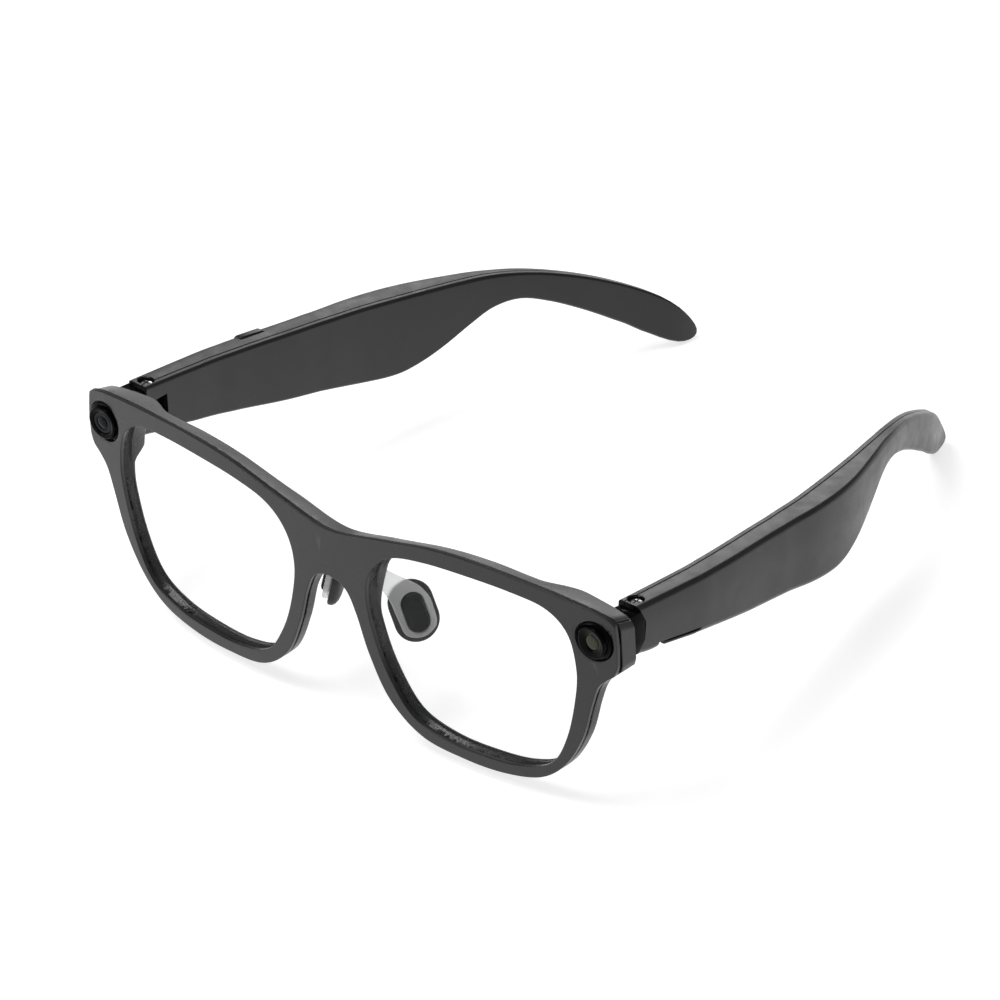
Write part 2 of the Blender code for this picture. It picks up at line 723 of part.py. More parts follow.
def build_button(side, hinge, shell, looks):
    """The capture button on the top outer edge of the right temple, and its switch."""
    def slot(s):
        thick = along(THICKNESS, s)
        return [(thick - 2.7, 1.5), (thick + 1.5, 1.5), (thick + 1.5, -2.3), (thick - 2.7, -2.3)]

    cut(shell, temple_part("cut_button", side, (27.6, 34.6), slot, hinge, None))

    def key(s):
        thick = along(THICKNESS, s)
        return [(thick - 2.3, 0.3), (thick - 0.7, 0.3), (thick - 0.1, -0.3), (thick - 0.1, -1.5),
                (thick - 2.3, -1.5)]

    temple_part("capture_button", side, (28.0, 34.2), key, hinge, looks["satin"])

    def switch(s):
        thick = along(THICKNESS, s)
        return [(thick - 3.4, -2.6), (thick - 1.7, -2.6), (thick - 1.7, -4.0), (thick - 3.4, -4.0)]

    temple_part("button_switch", side, (28.6, 30.4), switch, hinge, looks["dark"])


def build_slider(side, hinge, shell, looks):
    """The power slider under the left temple, in a slot longer than itself."""
    rise = bottom_line(SLIDER_START + SLIDER_SLOT) - bottom_line(SLIDER_START)
    seat = frame("slider_seat", (0, SLIDER_START, bottom_line(SLIDER_START)),
                 math.atan2(rise, SLIDER_SLOT), hinge)
    low, high = sorted((side * (SLIDER_OUT - 2.5), side * (SLIDER_OUT + 2.0)))
    cut(shell, block("cut_slider", (low, 0.0, -2.5), (high, SLIDER_SLOT, 1.8), seat, None))
    low, high = sorted((side * (SLIDER_OUT - 2.1), side * SLIDER_OUT))
    block("power_slider", (low, SLIDER_TRAVEL + 2 * GAP, -0.05),
          (high, SLIDER_SLOT - GAP, 1.3), seat, looks["satin"], bevel=0.3)


def build_contacts(side, hinge, cover, looks):
    """Two charging contacts set in the left temple's inner face."""
    for number, s in ((1, 40.0), (2, 45.0)):
        x = side * (inner_x(s) + 0.2)
        shape = bmesh.new()
        turn = Matrix.Translation((x, s, -8.0)) @ Matrix.Rotation(math.radians(90), 4, "Y")
        bmesh.ops.create_cone(shape, cap_ends=True, segments=16, radius1=1.2, radius2=1.2,
                              depth=1.0, matrix=turn)
        finish("charge_contact_%d" % number, shape, hinge, looks["gold"])
        hole = bmesh.new()
        bmesh.ops.create_cone(hole, cap_ends=True, segments=16, radius1=1.5, radius2=1.5,
                              depth=6.0, matrix=turn)
        cut(cover, finish("cut_contact_%d" % number, hole, hinge, None))


def seat_on_origin(stand):
    """Moves the stand so that the glasses rest on z = 0, centred on the origin."""
    bpy.context.view_layer.update()
    seen = bpy.context.evaluated_depsgraph_get()
    corners = []
    for thing in bpy.context.scene.objects:
        if thing.type == "MESH" and not thing.hide_render:
            shape = thing.evaluated_get(seen)
            corners += [shape.matrix_world @ vert.co for vert in shape.data.vertices]
    low = Vector(min(c[k] for c in corners) for k in range(3))
    high = Vector(max(c[k] for c in corners) for k in range(3))
    stand.location = (-(low.x + high.x) / 2, -(low.y + high.y) / 2, -low.z)


def build_looks():
    return {
        "satin": material("satin_black_plastic", (0.035, 0.035, 0.037), 0.42),
        "gloss": material("gloss_black_plastic", (0.008, 0.008, 0.009), 0.12),
        "lens": material("clear_lens", (0.96, 0.97, 0.98), 0.02, alpha=0.08),
        "camera": material("camera_glass", (0.02, 0.02, 0.03), 0.05),
        "light": material("light_window", (0.20, 0.21, 0.13), 0.25),
        "lamp": material("lamp_body", (0.75, 0.74, 0.62), 0.4),
        "steel": material("steel", (0.62, 0.62, 0.63), 0.28, metallic=1.0),
        "black_steel": material("black_steel", (0.02, 0.02, 0.021), 0.35, metallic=0.6),
        "gold": material("gold_contact", (0.85, 0.62, 0.25), 0.25, metallic=1.0),
        "copper": material("flex_cable", (0.55, 0.30, 0.08), 0.4),
        "board": material("circuit_board", (0.02, 0.10, 0.06), 0.5),
        "foil": material("battery_foil", (0.45, 0.46, 0.48), 0.35, metallic=0.6),
        "dark": material("dark_component", (0.03, 0.03, 0.03), 0.6),
        "clear": material("clear_nose_arm", (0.90, 0.91, 0.92), 0.15, alpha=0.6),
        "silicone": material("silicone_pad", (0.03, 0.03, 0.03), 0.6),
    }


def main():
    for thing in list(bpy.data.objects):
        bpy.data.objects.remove(thing, do_unlink=True)
    looks = build_looks()
    stand = frame("stand", (0, 0, 0), STAND_TILT)
    build_front_plate(stand, looks)
    build_housing(stand, looks)
    build_optics(stand, looks)
    for side, word in ((1, "left"), (-1, "right")):
        build_lens(side, word, stand, looks)
        build_end_cap(side, word, stand, looks)
        build_nose_pad(side, word, stand, looks)
        place = Vector((side * HINGE.x, HINGE.y, HINGE.z))
        hinge = frame("hinge_" + word, place, TEMPLE_TILT, stand)
        pivot = frame("pivot_" + word, place, 0, stand)
        shell, cover = build_temple(side, word, hinge, pivot, looks)
        if side > 0:
            build_slider(side, hinge, shell, looks)
            build_contacts(side, hinge, cover, looks)
        else:
            build_button(side, hinge, shell, looks)
    seat_on_origin(stand)


main()
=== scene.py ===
"""Looks for the smart glasses: finer pieces in the place of the CAD ones, materials, light and camera.

Lengths are in millimetres in the front's own frame (+X to the wearer's left, -Y out of the face, +Z
up, origin on the face between the lenses), or in a temple's frame (+Y along its top line, from its
hinge).
"""

import json
import math

import bmesh
import bpy
from mathutils import Matrix, Vector, kdtree


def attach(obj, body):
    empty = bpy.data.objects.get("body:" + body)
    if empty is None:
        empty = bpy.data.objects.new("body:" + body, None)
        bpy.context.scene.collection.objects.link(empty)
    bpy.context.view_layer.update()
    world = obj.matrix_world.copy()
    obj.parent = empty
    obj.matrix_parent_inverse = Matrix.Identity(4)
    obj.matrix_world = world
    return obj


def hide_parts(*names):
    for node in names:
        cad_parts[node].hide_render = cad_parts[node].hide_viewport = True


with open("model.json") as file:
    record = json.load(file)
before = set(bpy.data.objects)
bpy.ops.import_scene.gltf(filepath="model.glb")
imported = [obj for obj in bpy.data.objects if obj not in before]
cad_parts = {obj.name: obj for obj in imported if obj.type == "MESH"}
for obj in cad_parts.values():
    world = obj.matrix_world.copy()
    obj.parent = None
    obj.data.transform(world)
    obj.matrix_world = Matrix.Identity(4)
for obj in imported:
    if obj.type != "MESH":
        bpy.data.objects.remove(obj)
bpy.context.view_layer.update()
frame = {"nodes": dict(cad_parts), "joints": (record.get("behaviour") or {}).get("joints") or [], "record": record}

MM = 0.001

# ---------------------------------------------------------------- dimensions
WRAP = 1.205 / 1000
BOW_UP = 0.894 / 1000
PLATE_DEPTH = 0.86
HOUSING_START = 1.5
LENS_FRONT = 1.8
LENS_DEPTH = 1.2
LENS_SHELF = 3.3
RIM_DEPTH = 4.0
BRIDGE_DEPTH = 6.5
BROW_DEPTH = 5.8
OUTER_DEPTH = 4.9
END_REAR = 12.3
TOP_SLOPE = 0.40
END_SLOPE = 0.30
ROUNDING = 0.24
REAR_EDGE = 0.5
POCKET_ROOM = 0.9
LENS_ROOM = 0.6
# Where, across the front or up it, one depth or slope of the housing's rear gives way to the next.
BRIDGE_TO_BROW = (8, 26)
BROW_TO_OUTER = (40, 54)
RIM_TO_BROW = (-5, 5)
END_ACROSS = (51, 61)
END_UP = (0.5, 3.5)
SLOPE_ACROSS = (44, 58)
SLOPE_UP = (5, 13)

# Mesh steps: along outlines, between cuts of the flat faces, per curve segment, per temple station.
FINE = 0.9
GRID = 2.5
GRID_OFFSET = 0.017
CURVE_STEPS = 16
SHARP_ANGLE = 32
TEMPLE_SPACING = 1.4
CUTTER_SPACING = 1.5

BROW = [(0, 13.1), (14, 15.7), (28, 18.5), (41, 19.25), (56, 18.5), (67, 17.2), (71.7, 16.1)]
END_SIDE = [(72.8, 15.1), (73.2, 10.0), (73.0, 5.0)]
RIM_LINE = [(72.2, 3.1), (68.4, -0.4), (66.3, -5.8), (63.5, -14.6), (58.7, -22.6), (52.3, -27.7),
            (43.0, -29.9), (33.0, -30.1), (22.3, -28.6), (14.4, -22.6), (9.7, -13.3),
            (6.9, -4.6), (4.3, 0.4), (0, 1.95)]
LENS_LINE = [(62.7, -4.0), (63.1, 3.0), (61.3, 10.1), (56.3, 14.15), (48.0, 15.25), (37.0, 15.3),
             (26.0, 14.6), (17.2, 12.6), (11.9, 7.9), (10.0, 0.8), (11.6, -8.4), (14.9, -16.8),
             (20.2, -24.1), (28.5, -26.9), (38.0, -27.3), (48.0, -26.3), (55.6, -22.8),
             (60.0, -14.8)]

OPTIC_X = 67.8
OPTIC_Z = 10.2
OPTIC_FACE = 5.6
OPTIC_HOLE = 4.5
OPTIC_FLANGE = OPTIC_FACE + 0.35
OPTIC_REAR = OPTIC_FACE + 2.4
DRUM_TOP = OPTIC_FACE - 0.95
WINDOW_TOP = DRUM_TOP + 0.3
CAP_X = 71.9
# Hollows of an end piece: the cap's recess, the bay behind the optics and the leaf's slot.
END_HOLLOWS = [((CAP_X, 3.0, 2.0), (CAP_X + 4, 14.0, 18.0)),
               ((65.0, 2.0, 5.8), (71.5, 11.0, 13.0)),
               ((66.1, 9.0, 5.8), (69.7, 14.0, 10.2))]

HINGE = Vector((67.9, 18.4, 13.9))
TEMPLE_TILT = math.radians(-7.2)
STAND_TILT = math.radians(-2.77)
SLOT_TOP = -3.7
SLOT_FLOOR = -8.1
FOOT_BACK = -7.7
FOOT_FRONT = -8.5
SHELL_V = [(0.0, 0.0), (-3.8, 2.0), (-7.8, 2.0), (-11.0, 0.0)]
V_FROM = 1.5
JOINT_POINT = -4.5
EYE_RADIUS = 2.1
EYE_BORE = 1.0
BLOCK_GAP = 0.3
# Heights of the hinge block's sections, with how far each is inset.
BLOCK_LEVELS = [(-1.0, 0.3), (-1.1, 0.12), (-1.3, 0.0), (-3.8, 0.0), (-7.8, 0.0), (-10.2, 0.0),
                (-10.4, 0.12), (-10.5, 0.3)]
# Profiles round the hinge axis: radius and height.
SCREW = [(0, -9.2), (0.8, -9.2), (0.8, -1.8), (1.5, -1.8), (1.55, -1.0), (1.45, -0.78),
         (1.2, -0.62), (0.7, -0.5), (0, -0.46)]
SCREW_WELL = [(0, -9.6), (1.1, -9.6), (1.1, -2.1), (1.8, -2.1), (1.8, -0.12), (1.95, 0.05),
              (1.95, 2.0), (0, 2.0)]

TEMPLE_START = -2.4
TEMPLE_END = 133.0
TIP_START = 123.0
ARCH_START = 84.0
ARCH_RADIUS = 72.0
CENTRE_AT_HINGE = 0.5
UNDERSIDE = [(-2.4, -11.1), (2, -11.7), (6, -11.8), (12, -12.6), (23, -13.8), (36, -15.4),
             (48, -16.4), (60, -17.7), (67, -17.8), (72.5, -16.4), (78, -14.0), (83.5, -10.8),
             (89, -7.9), (95, -7.0), (101.5, -8.8), (108, -11.7), (114.5, -15.2), (121, -19.2),
             (133, -26.0)]
INWARD_BOW = [(-8, 0), (10, 0.4), (22, 1.1), (46, 3.8), (58, 5.3), (70, 7.8), (82, 11.5),
              (94, 16.1), (107, 21.8), (120, 27.3), (133, 33.6)]
THICKNESS = [(-3, 5.9), (22, 6.4), (46, 6.6), (64, 7.4), (72, 7.1), (80, 6.0), (90, 4.6),
             (100, 3.9), (128, 3.7), (133, 2.6)]
SPLIT = 1.5
SEAM = 0.14
HOLLOW = (9, 80)
WALL = 1.5
BUTTON = (28.0, 34.2)
BUTTON_GAP = 0.15
VENT_START = 58.3
VENT_PITCH = 1.6
VENT_LENGTH = 0.9
VENT_COUNT = 5
CONTACTS = (40.0, 45.0)
CONTACT_HEIGHT = -8.0

SLIDER_START = 4.0
SLIDER_SLOT = 13.4
SLIDER_TRAVEL = 2.3
SLIDER_OUT = 3.0
GROOVE_PITCH = 0.9
GROOVE_WIDTH = 0.35

PAD_CENTRE = Vector((11.7, 12.3, -8.3))
PAD_NORMAL = Vector((-0.82, 0.50, -0.27)).normalized()
PAD_LONG = Vector((0.336, 0.044, -0.941))
# Half lengths and half widths of the pad, of its core and of the hole in the arm.
PAD_OVAL = (6.8, 4.8)
CORE_OVAL = (4.3, 2.3)
ARM_HOLE = (4.5, 2.5)
# The arm's outline and the corners of its root, in the pad's frame.
NOSE_ARM = [(5.5, 0), (4.0, 3.3), (0, 3.9), (-4.5, 4.2), (-9.0, 5.6), (-13.2, 8.0), (-13.9, 6.8),
            (-13.5, 4.8), (-10.5, 2.3), (-7.6, -0.3), (-5.2, -2.5), (-2.5, -3.7), (0, -3.9),
            (4.0, -3.3)]
ROOT_HALF = 0.6

# Camera: direction, distance and aim, in the front's frame.
VIEW_AZIMUTH = math.radians(44.326)
VIEW_ELEVATION = math.radians(32.049)
VIEW_ROLL = math.radians(-3.454)
VIEW_DISTANCE = 2695.5
AIM_RIGHT = 34.52
AIM_UP = 17.06
LENS_LENGTH = 479.4

# Lights in the row frame, in metres: name, place, target, size and power.
LIGHTS = [("key", (-0.2, -0.3, 1.0), (0, 0, 0.02), (0.5, 0.5), 5.0),
          ("rear_high", (-0.64, 1.06, 0.46), (0, 0, 0.02), (0.6, 0.4), 2.2),
          ("front_low", (-0.45, -0.42, 0.14), (0, -0.05, 0.02), (0.3, 0.22), 0.7)]


def stand_matrix():
    """The front's frame in the row frame, from where the record puts the left hinge."""
    tilt = Matrix.Rotation(STAND_TILT, 4, "X")
    joint = next(j for j in frame["joints"] if j["name"] == "left_temple_hinge")
    below = Vector((0, 0, JOINT_POINT))
    return Matrix.Translation(Vector(joint["pos_m"]) - tilt @ ((HINGE + below) * MM)) @ tilt


STAND = stand_matrix()


def pivot_matrix(side):
    return STAND @ Matrix.Translation(Vector((side * HINGE.x, HINGE.y, HINGE.z)) * MM)


def hinge_matrix(side):
    return pivot_matrix(side) @ Matrix.Rotation(TEMPLE_TILT, 4, "X")


# ---------------------------------------------------------------- curves and loops

def smoothstep(low, high, value):
    t = min(1.0, max(0.0, (value - low) / (high - low)))
    return t * t * (3 - 2 * t)


def mix(a, b, t):
    return a + (b - a) * t


def spline_point(p0, p1, p2, p3, t):
    return tuple(0.5 * (2 * b + (c - a) * t + (2 * a - 5 * b + 4 * c - d) * t * t
                        + (3 * b - a - 3 * c + d) * t ** 3)
                 for a, b, c, d in zip(p0, p1, p2, p3))


def smooth_open(points):
    """A smooth curve through the points."""
    ends = [points[0], *points, points[-1]]
    curve = []
    for i in range(len(points) - 1):
        curve += [spline_point(*ends[i:i + 4], k / CURVE_STEPS) for k in range(CURVE_STEPS)]
    return curve + [tuple(points[-1])]


def smooth_closed(points):
    """A smooth closed loop through the points."""
    count = len(points)
    curve = []
    for i in range(count):
        four = [points[(i + k - 1) % count] for k in range(4)]
        curve += [spline_point(*four, k / CURVE_STEPS) for k in range(CURVE_STEPS)]
    return curve


def resample(points, spacing, closed=False):
    """Points at an even spacing along a line."""
    line = list(points) + ([points[0]] if closed else [])
    lengths = [math.dist(a, b) for a, b in zip(line, line[1:])]
    total = sum(lengths)
    count = max(2, round(total / spacing))
    result = []
    segment = 0
    start = 0.0
    for k in range(count if closed else count + 1):
        goal = total * k / count
        while segment < len(lengths) - 1 and start + lengths[segment] < goal:
            start += lengths[segment]
            segment += 1
        t = (goal - start) / lengths[segment]
        result.append(tuple(mix(a, b, t) for a, b in zip(line[segment], line[segment + 1])))
    return result


def along(points, value):
    """The second coordinate of a smooth curve, at a value of its first."""
    ends = [points[0], *points, points[-1]]
    for i in range(len(points) - 1):
        low, high = points[i][0], points[i + 1][0]
        if value <= high or i == len(points) - 2:
            t = min(1.0, max(0.0, (value - low) / (high - low)))
            return spline_point(*[(p[1],) for p in ends[i:i + 4]], t)[0]
    return points[-1][1]


def area(loop):
    return sum(a[0] * b[1] - b[0] * a[1] for a, b in zip(loop, loop[1:] + loop[:1])) / 2


def grow(loop, distance):
    """A closed loop, counter-clockwise, moved outwards by a distance."""
    count = len(loop)
    moved = []
    for i, point in enumerate(loop):
        edge = (Vector(loop[(i + 1) % count]) - Vector(loop[i - 1])).normalized()
        moved.append((point[0] + edge.y * distance, point[1] - edge.x * distance))
    return moved


def circle(centre_x, centre_z, radius, steps=64):
    turn = 2 * math.pi / steps
    return [(centre_x + radius * math.cos(turn * k), centre_z + radius * math.sin(turn * k))
            for k in range(steps)]


def oval(half_long, half_wide, steps=24):
    straight = half_long - half_wide
    loop = []
    for end, start in ((1, -math.pi / 2), (-1, math.pi / 2)):
        for k in range(steps + 1):
            angle = start + math.pi * k / steps
            loop.append((end * straight + half_wide * math.cos(angle), half_wide * math.sin(angle)))
    return loop


def rounded(corners, radii, per=4):
    """A polygon with its corners rounded, always with the same number of points per corner."""
    count = len(corners)
    ring = []
    for i in range(count):
        at = Vector(corners[i])
        back = Vector(corners[i - 1]) - at
        ahead = Vector(corners[(i + 1) % count]) - at
        reach = min(radii[i], back.length * 0.45, ahead.length * 0.45)
        start = at + back.normalized() * reach
        end = at + ahead.normalized() * reach
        for k in range(per):
            t = k / (per - 1)
            point = start * (1 - t) ** 2 + at * 2 * t * (1 - t) + end * t * t
            ring.append(tuple(point))
    return ring


# ---------------------------------------------------------------- meshes

def even_normals(thing):
    """Large faces decide the shading, so narrow bevels don't darken the faces beside them."""
    step = thing.modifiers.new("even_normals", "WEIGHTED_NORMAL")
    step.keep_sharp = True
    step.weight = 50


def finish(name, shape, matrix, body, look, sharp=SHARP_ANGLE):
    """Makes a piece from a bmesh in millimetres, puts it on its body and in its node's place.

    A piece without a look is a cutter, and stays off the bodies.
    """
    bmesh.ops.recalc_face_normals(shape, faces=shape.faces)
    bmesh.ops.transform(shape, matrix=matrix @ Matrix.Scale(MM, 4), verts=shape.verts)
    mesh = bpy.data.meshes.new(name)
    shape.to_mesh(mesh)
    shape.free()
    mesh.shade_smooth()
    mesh.set_sharp_from_angle(angle=math.radians(sharp))
    thing = bpy.data.objects.new(name, mesh)
    bpy.context.scene.collection.objects.link(thing)
    if look is None:
        return thing
    mesh.materials.append(MATERIALS[look])
    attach(thing, body)
    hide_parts(name.removeprefix("fine_"))
    return thing


def bridge(shape, rings):
    """Faces between one ring of points and the next."""
    count = len(rings[0])
    for near, far in zip(rings, rings[1:]):
        for i in range(count):
            k = (i + 1) % count
            shape.faces.new((near[i], near[k], far[k], far[i]))


def slice_flats(shape, grid):
    """Cuts the two flat faces along a grid, so that they can bend."""
    reach = max(abs(vert.co[k]) for vert in shape.verts for k in (0, 2))
    steps = math.ceil(reach / grid)
    for k in range(-steps, steps + 1):
        for normal in ((1, 0, 0), (0, 0, 1)):
            faces = [face for face in shape.faces if abs(face.normal.y) > 0.999]
            parts = dict.fromkeys(part for face in faces
                                  for part in (face, *face.edges, *face.verts))
            bmesh.ops.bisect_plane(shape, geom=list(parts), dist=0.0001,
                                   plane_co=Vector(normal) * (k * grid + GRID_OFFSET),
                                   plane_no=normal)
            shape.normal_update()


def stacked(name, walls, place, matrix, body, look, grid=GRID):
    """A solid between two flat faces, bent into place: its first wall is outside, the rest holes."""
    shape = bmesh.new()
    first_edges = []
    last_edges = []
    for levels in walls:
        rings = [[shape.verts.new((u, level, v)) for u, v in loop] for loop, level in levels]
        bridge(shape, rings)
        count = len(rings[0])
        first_edges += [shape.edges.get((rings[0][i - 1], rings[0][i])) for i in range(count)]
        last_edges += [shape.edges.get((rings[-1][i - 1], rings[-1][i])) for i in range(count)]
    for edges in (first_edges, last_edges):
        bmesh.ops.triangle_fill(shape, use_beauty=True, use_dissolve=False, edges=edges,
                                normal=(0, -1, 0))
    if grid:
        slice_flats(shape, grid)
    for vert in shape.verts:
        vert.co = place(vert.co.x, vert.co.z, vert.co.y)
    bmesh.ops.triangulate(shape, faces=[face for face in shape.faces if len(face.verts) > 4])
    made = finish(name, shape, matrix, body, look)
    even_normals(made)
    return made


def lofted(name, rings, matrix, body=None, look=None, sharp=SHARP_ANGLE):
    """A solid through a row of rings, closed at both ends."""
    shape = bmesh.new()
    made = [[shape.verts.new(point) for point in ring] for ring in rings]
    bridge(shape, made)
    shape.faces.new(made[0])
    shape.faces.new(made[-1])
    return finish(name, shape, matrix, body, look, sharp)


def turned(name, profile, centre, matrix, body=None, look=None, axis="Y", steps=72,
           sharp=SHARP_ANGLE):
    """A round solid: a profile of radius and distance, turned about an axis."""
    shape = bmesh.new()
    rings = []
    for k in range(steps):
        angle = 2 * math.pi * k / steps
        ring = []
        for radius, distance in profile:
            across, up = radius * math.cos(angle), radius * math.sin(angle)
            offset = (across, distance, up) if axis == "Y" else (across, up, distance)
            ring.append(shape.verts.new(Vector(centre) + Vector(offset)))
        rings.append(ring)
    count = len(profile)
    for k in range(steps):
        near, far = rings[k - 1], rings[k]
        for i in range(count):
            shape.faces.new((near[i - 1], near[i], far[i], far[i - 1]))
    bmesh.ops.remove_doubles(shape, verts=shape.verts, dist=0.0005)
    bmesh.ops.dissolve_degenerate(shape, edges=shape.edges, dist=0.0005)
    loose = [edge for edge in shape.edges if not edge.link_faces]
    bmesh.ops.delete(shape, geom=loose, context="EDGES")
    return finish(name, shape, matrix, body, look, sharp)


def box_cutter(low, high, matrix):
    shape = bmesh.new()
    bmesh.ops.create_cube(shape, size=1.0)
    bmesh.ops.scale(shape, vec=Vector(high) - Vector(low), verts=shape.verts)
    bmesh.ops.translate(shape, vec=(Vector(high) + Vector(low)) / 2, verts=shape.verts)
    return finish("cutter", shape, matrix, None, None)


def cut(target, *cutters):
    """Takes the cutters out of a piece, for good, and removes them."""
    for cutter in cutters:
        step = target.modifiers.new("cut", "BOOLEAN")
        step.operation = "DIFFERENCE"
        step.solver = "EXACT"
        step.object = cutter
    bpy.context.view_layer.update()
    seen = target.evaluated_get(bpy.context.evaluated_depsgraph_get())
    mesh = bpy.data.meshes.new_from_object(seen)
    target.modifiers.clear()
    target.data = mesh
    mesh.shade_smooth()
    mesh.set_sharp_from_angle(angle=math.radians(SHARP_ANGLE))
    for cutter in cutters:
        bpy.data.objects.remove(cutter, do_unlink=True)


# ---------------------------------------------------------------- front

def face_y(x, z):
    """How far the face has curved back at a point."""
    return WRAP * x * x + BOW_UP * z * z


def on_face(x, z, level):
    return Vector((x, face_y(x, z) + level, z))


def rear_y(x, z):
    """Where the housing's rear surface lies: thin round the rims, deep at the end pieces."""
    across = abs(x)
    brow = mix(BRIDGE_DEPTH, BROW_DEPTH, smoothstep(*BRIDGE_TO_BROW, across))
    brow = mix(brow, OUTER_DEPTH, smoothstep(*BROW_TO_OUTER, across))
    rim = face_y(x, z) + mix(RIM_DEPTH, brow, smoothstep(*RIM_TO_BROW, z))
    return mix(rim, END_REAR, smoothstep(*END_ACROSS, across) * smoothstep(*END_UP, z))


def top_slope(x):
    """How steeply the front's top slopes down towards the rear."""
    return mix(TOP_SLOPE, END_SLOPE, smoothstep(*SLOPE_ACROSS, abs(x)))


def front_outline():
    """The whole outline; it runs level through the middle of the bridge and of the nose arch."""
    brow = smooth_open([(-BROW[1][0], BROW[1][1]), *BROW])[CURVE_STEPS:]
    rim = smooth_open([*RIM_LINE, (-RIM_LINE[-2][0], RIM_LINE[-2][1])])[:-CURVE_STEPS]
    half = resample(brow + smooth_open(END_SIDE) + rim, FINE)
    return list(reversed(half + [(-x, z) for x, z in reversed(half[1:-1])]))


def lens_outline(side):
    loop = [(side * x, z) for x, z in resample(smooth_closed(LENS_LINE), FINE, closed=True)]
    return loop if side > 0 else list(reversed(loop))


OUTLINE = front_outline()
LENSES = {side: lens_outline(side) for side in (1, -1)}


def tree_of(points):
    tree = kdtree.KDTree(len(points))
    for i, (x, z) in enumerate(points):
        tree.insert((x, 0, z), i)
    tree.balance()
    return tree


OUTLINE_TREE = tree_of(OUTLINE)
LENS_TREE = tree_of(LENSES[1] + LENSES[-1])


def housing_place(x, z, level):
    """Levels up to the shelf follow the face; the rear follows rear_y. The top slopes down."""
    near = face_y(x, z)
    rear = rear_y(x, z)
    last = RIM_DEPTH - REAR_EDGE
    if level <= LENS_SHELF:
        depth = near + level
    elif level <= last:
        depth = mix(near + LENS_SHELF, rear - REAR_EDGE, (level - LENS_SHELF) / (last - LENS_SHELF))
    else:
        depth = rear - (RIM_DEPTH - level)
    to_lens = LENS_TREE.find((x, 0, z))[2]
    to_outline = OUTLINE_TREE.find((x, 0, z))[2]
    outer = to_lens / (to_lens + to_outline + 0.001)
    past = max(0.0, depth - near - LENS_SHELF * (1 - outer))
    return Vector((x, depth, z - top_slope(x) * past * smoothstep(*SLOPE_UP, z)))


def build_front_plate():
    """The face, rounded at its outline, its lens openings and its two round windows."""
    edge = [(1.0, 0.0), (0.62, 0.05), (0.3, 0.2), (0.1, 0.42), (0.0, 0.75)]
    walls = [[(grow(OUTLINE, -ROUNDING * inset), ROUNDING * level) for inset, level in edge]
             + [(OUTLINE, PLATE_DEPTH)]]
    for side in (1, -1):
        lens = LENSES[side]
        walls.append([(grow(lens, ROUNDING * inset), ROUNDING * level) for inset, level in edge]
                     + [(lens, PLATE_DEPTH)])
        hole = [(circle(side * OPTIC_X, OPTIC_Z, OPTIC_HOLE + 0.22), 0),
                (circle(side * OPTIC_X, OPTIC_Z, OPTIC_HOLE + 0.06), 0.07),
                (circle(side * OPTIC_X, OPTIC_Z, OPTIC_HOLE), 0.22),
                (circle(side * OPTIC_X, OPTIC_Z, OPTIC_HOLE), PLATE_DEPTH)]
        walls.append(hole)
    stacked("fine_front_plate", walls, on_face, STAND, "front", "satin")


def build_housing():
    """The rear housing: lens pockets, end hollows, drum holes and the nose arms' seats."""
    walls = [[(grow(OUTLINE, -0.12), HOUSING_START), (OUTLINE, HOUSING_START + 0.12),
              (OUTLINE, LENS_SHELF), (OUTLINE, RIM_DEPTH - REAR_EDGE),
              (grow(OUTLINE, -0.15), RIM_DEPTH - 0.2), (grow(OUTLINE, -0.55), RIM_DEPTH)]]
    for side in (1, -1):
        lens = LENSES[side]
        pocket = grow(lens, POCKET_ROOM)
        walls.append([(pocket, HOUSING_START), (pocket, LENS_SHELF - 0.15), (lens, LENS_SHELF),
                      (lens, RIM_DEPTH - REAR_EDGE), (grow(lens, 0.12), RIM_DEPTH - 0.2),
                      (grow(lens, 0.45), RIM_DEPTH)])
    housing = stacked("fine_rear_housing", walls, housing_place, STAND, "front", "satin")
    cutters = []
    for side in (1, -1):
        for low, high in END_HOLLOWS:
            xs = sorted((side * low[0], side * high[0]))
            cutters.append(box_cutter((xs[0], *low[1:]), (xs[1], *high[1:]), STAND))
        drum_hole = [(0, -4.0), (OPTIC_HOLE, -4.0), (OPTIC_HOLE, 2.8), (0, 2.8)]
        cutters.append(turned("cutter", drum_hole, (side * OPTIC_X, OPTIC_FACE, OPTIC_Z), STAND))
        cutters.append(root_cutter(side, 0.12))
    cut(housing, *cutters)
    even_normals(housing)


def build_lens(side, word):
    loop = grow(LENSES[side], LENS_ROOM)
    walls = [[(grow(loop, -0.15), LENS_FRONT), (loop, LENS_FRONT + 0.15),
              (loop, LENS_FRONT + LENS_DEPTH - 0.15), (grow(loop, -0.15), LENS_FRONT + LENS_DEPTH)]]
    stacked("fine_lens_" + word, walls, on_face, STAND, "front", "lens", grid=6)


def build_end_cap(side, word):
    """The trim at the outer side of the end piece, chamfered along its top."""
    inner = CAP_X + 0.12
    corners = [(inner, 3.1), (72.6, 3.4), (73.15, 5.0), (73.2, 13.9), (72.5, 15.2), (inner, 15.3)]
    start = face_y(73.2, 10) + HOUSING_START
    rings = []
    for y, inset in ((start, 0.12), (start + 0.12, 0.0), (END_REAR - 0.3, 0.0), (END_REAR, 0.3)):
        drop = END_SLOPE * (y - start) + 0.3
        section = [(x - (inset if x > 72 else 0), z - (drop + inset if z > 10 else -inset))
                   for x, z in corners]
        rings.append([(side * x, y, z)
                      for x, z in rounded(section, [0.2, 0.3, 0.4, 0.35, 0.35, 0.2])])
    lofted("fine_end_cap_" + word, rings, STAND, "front", "satin")


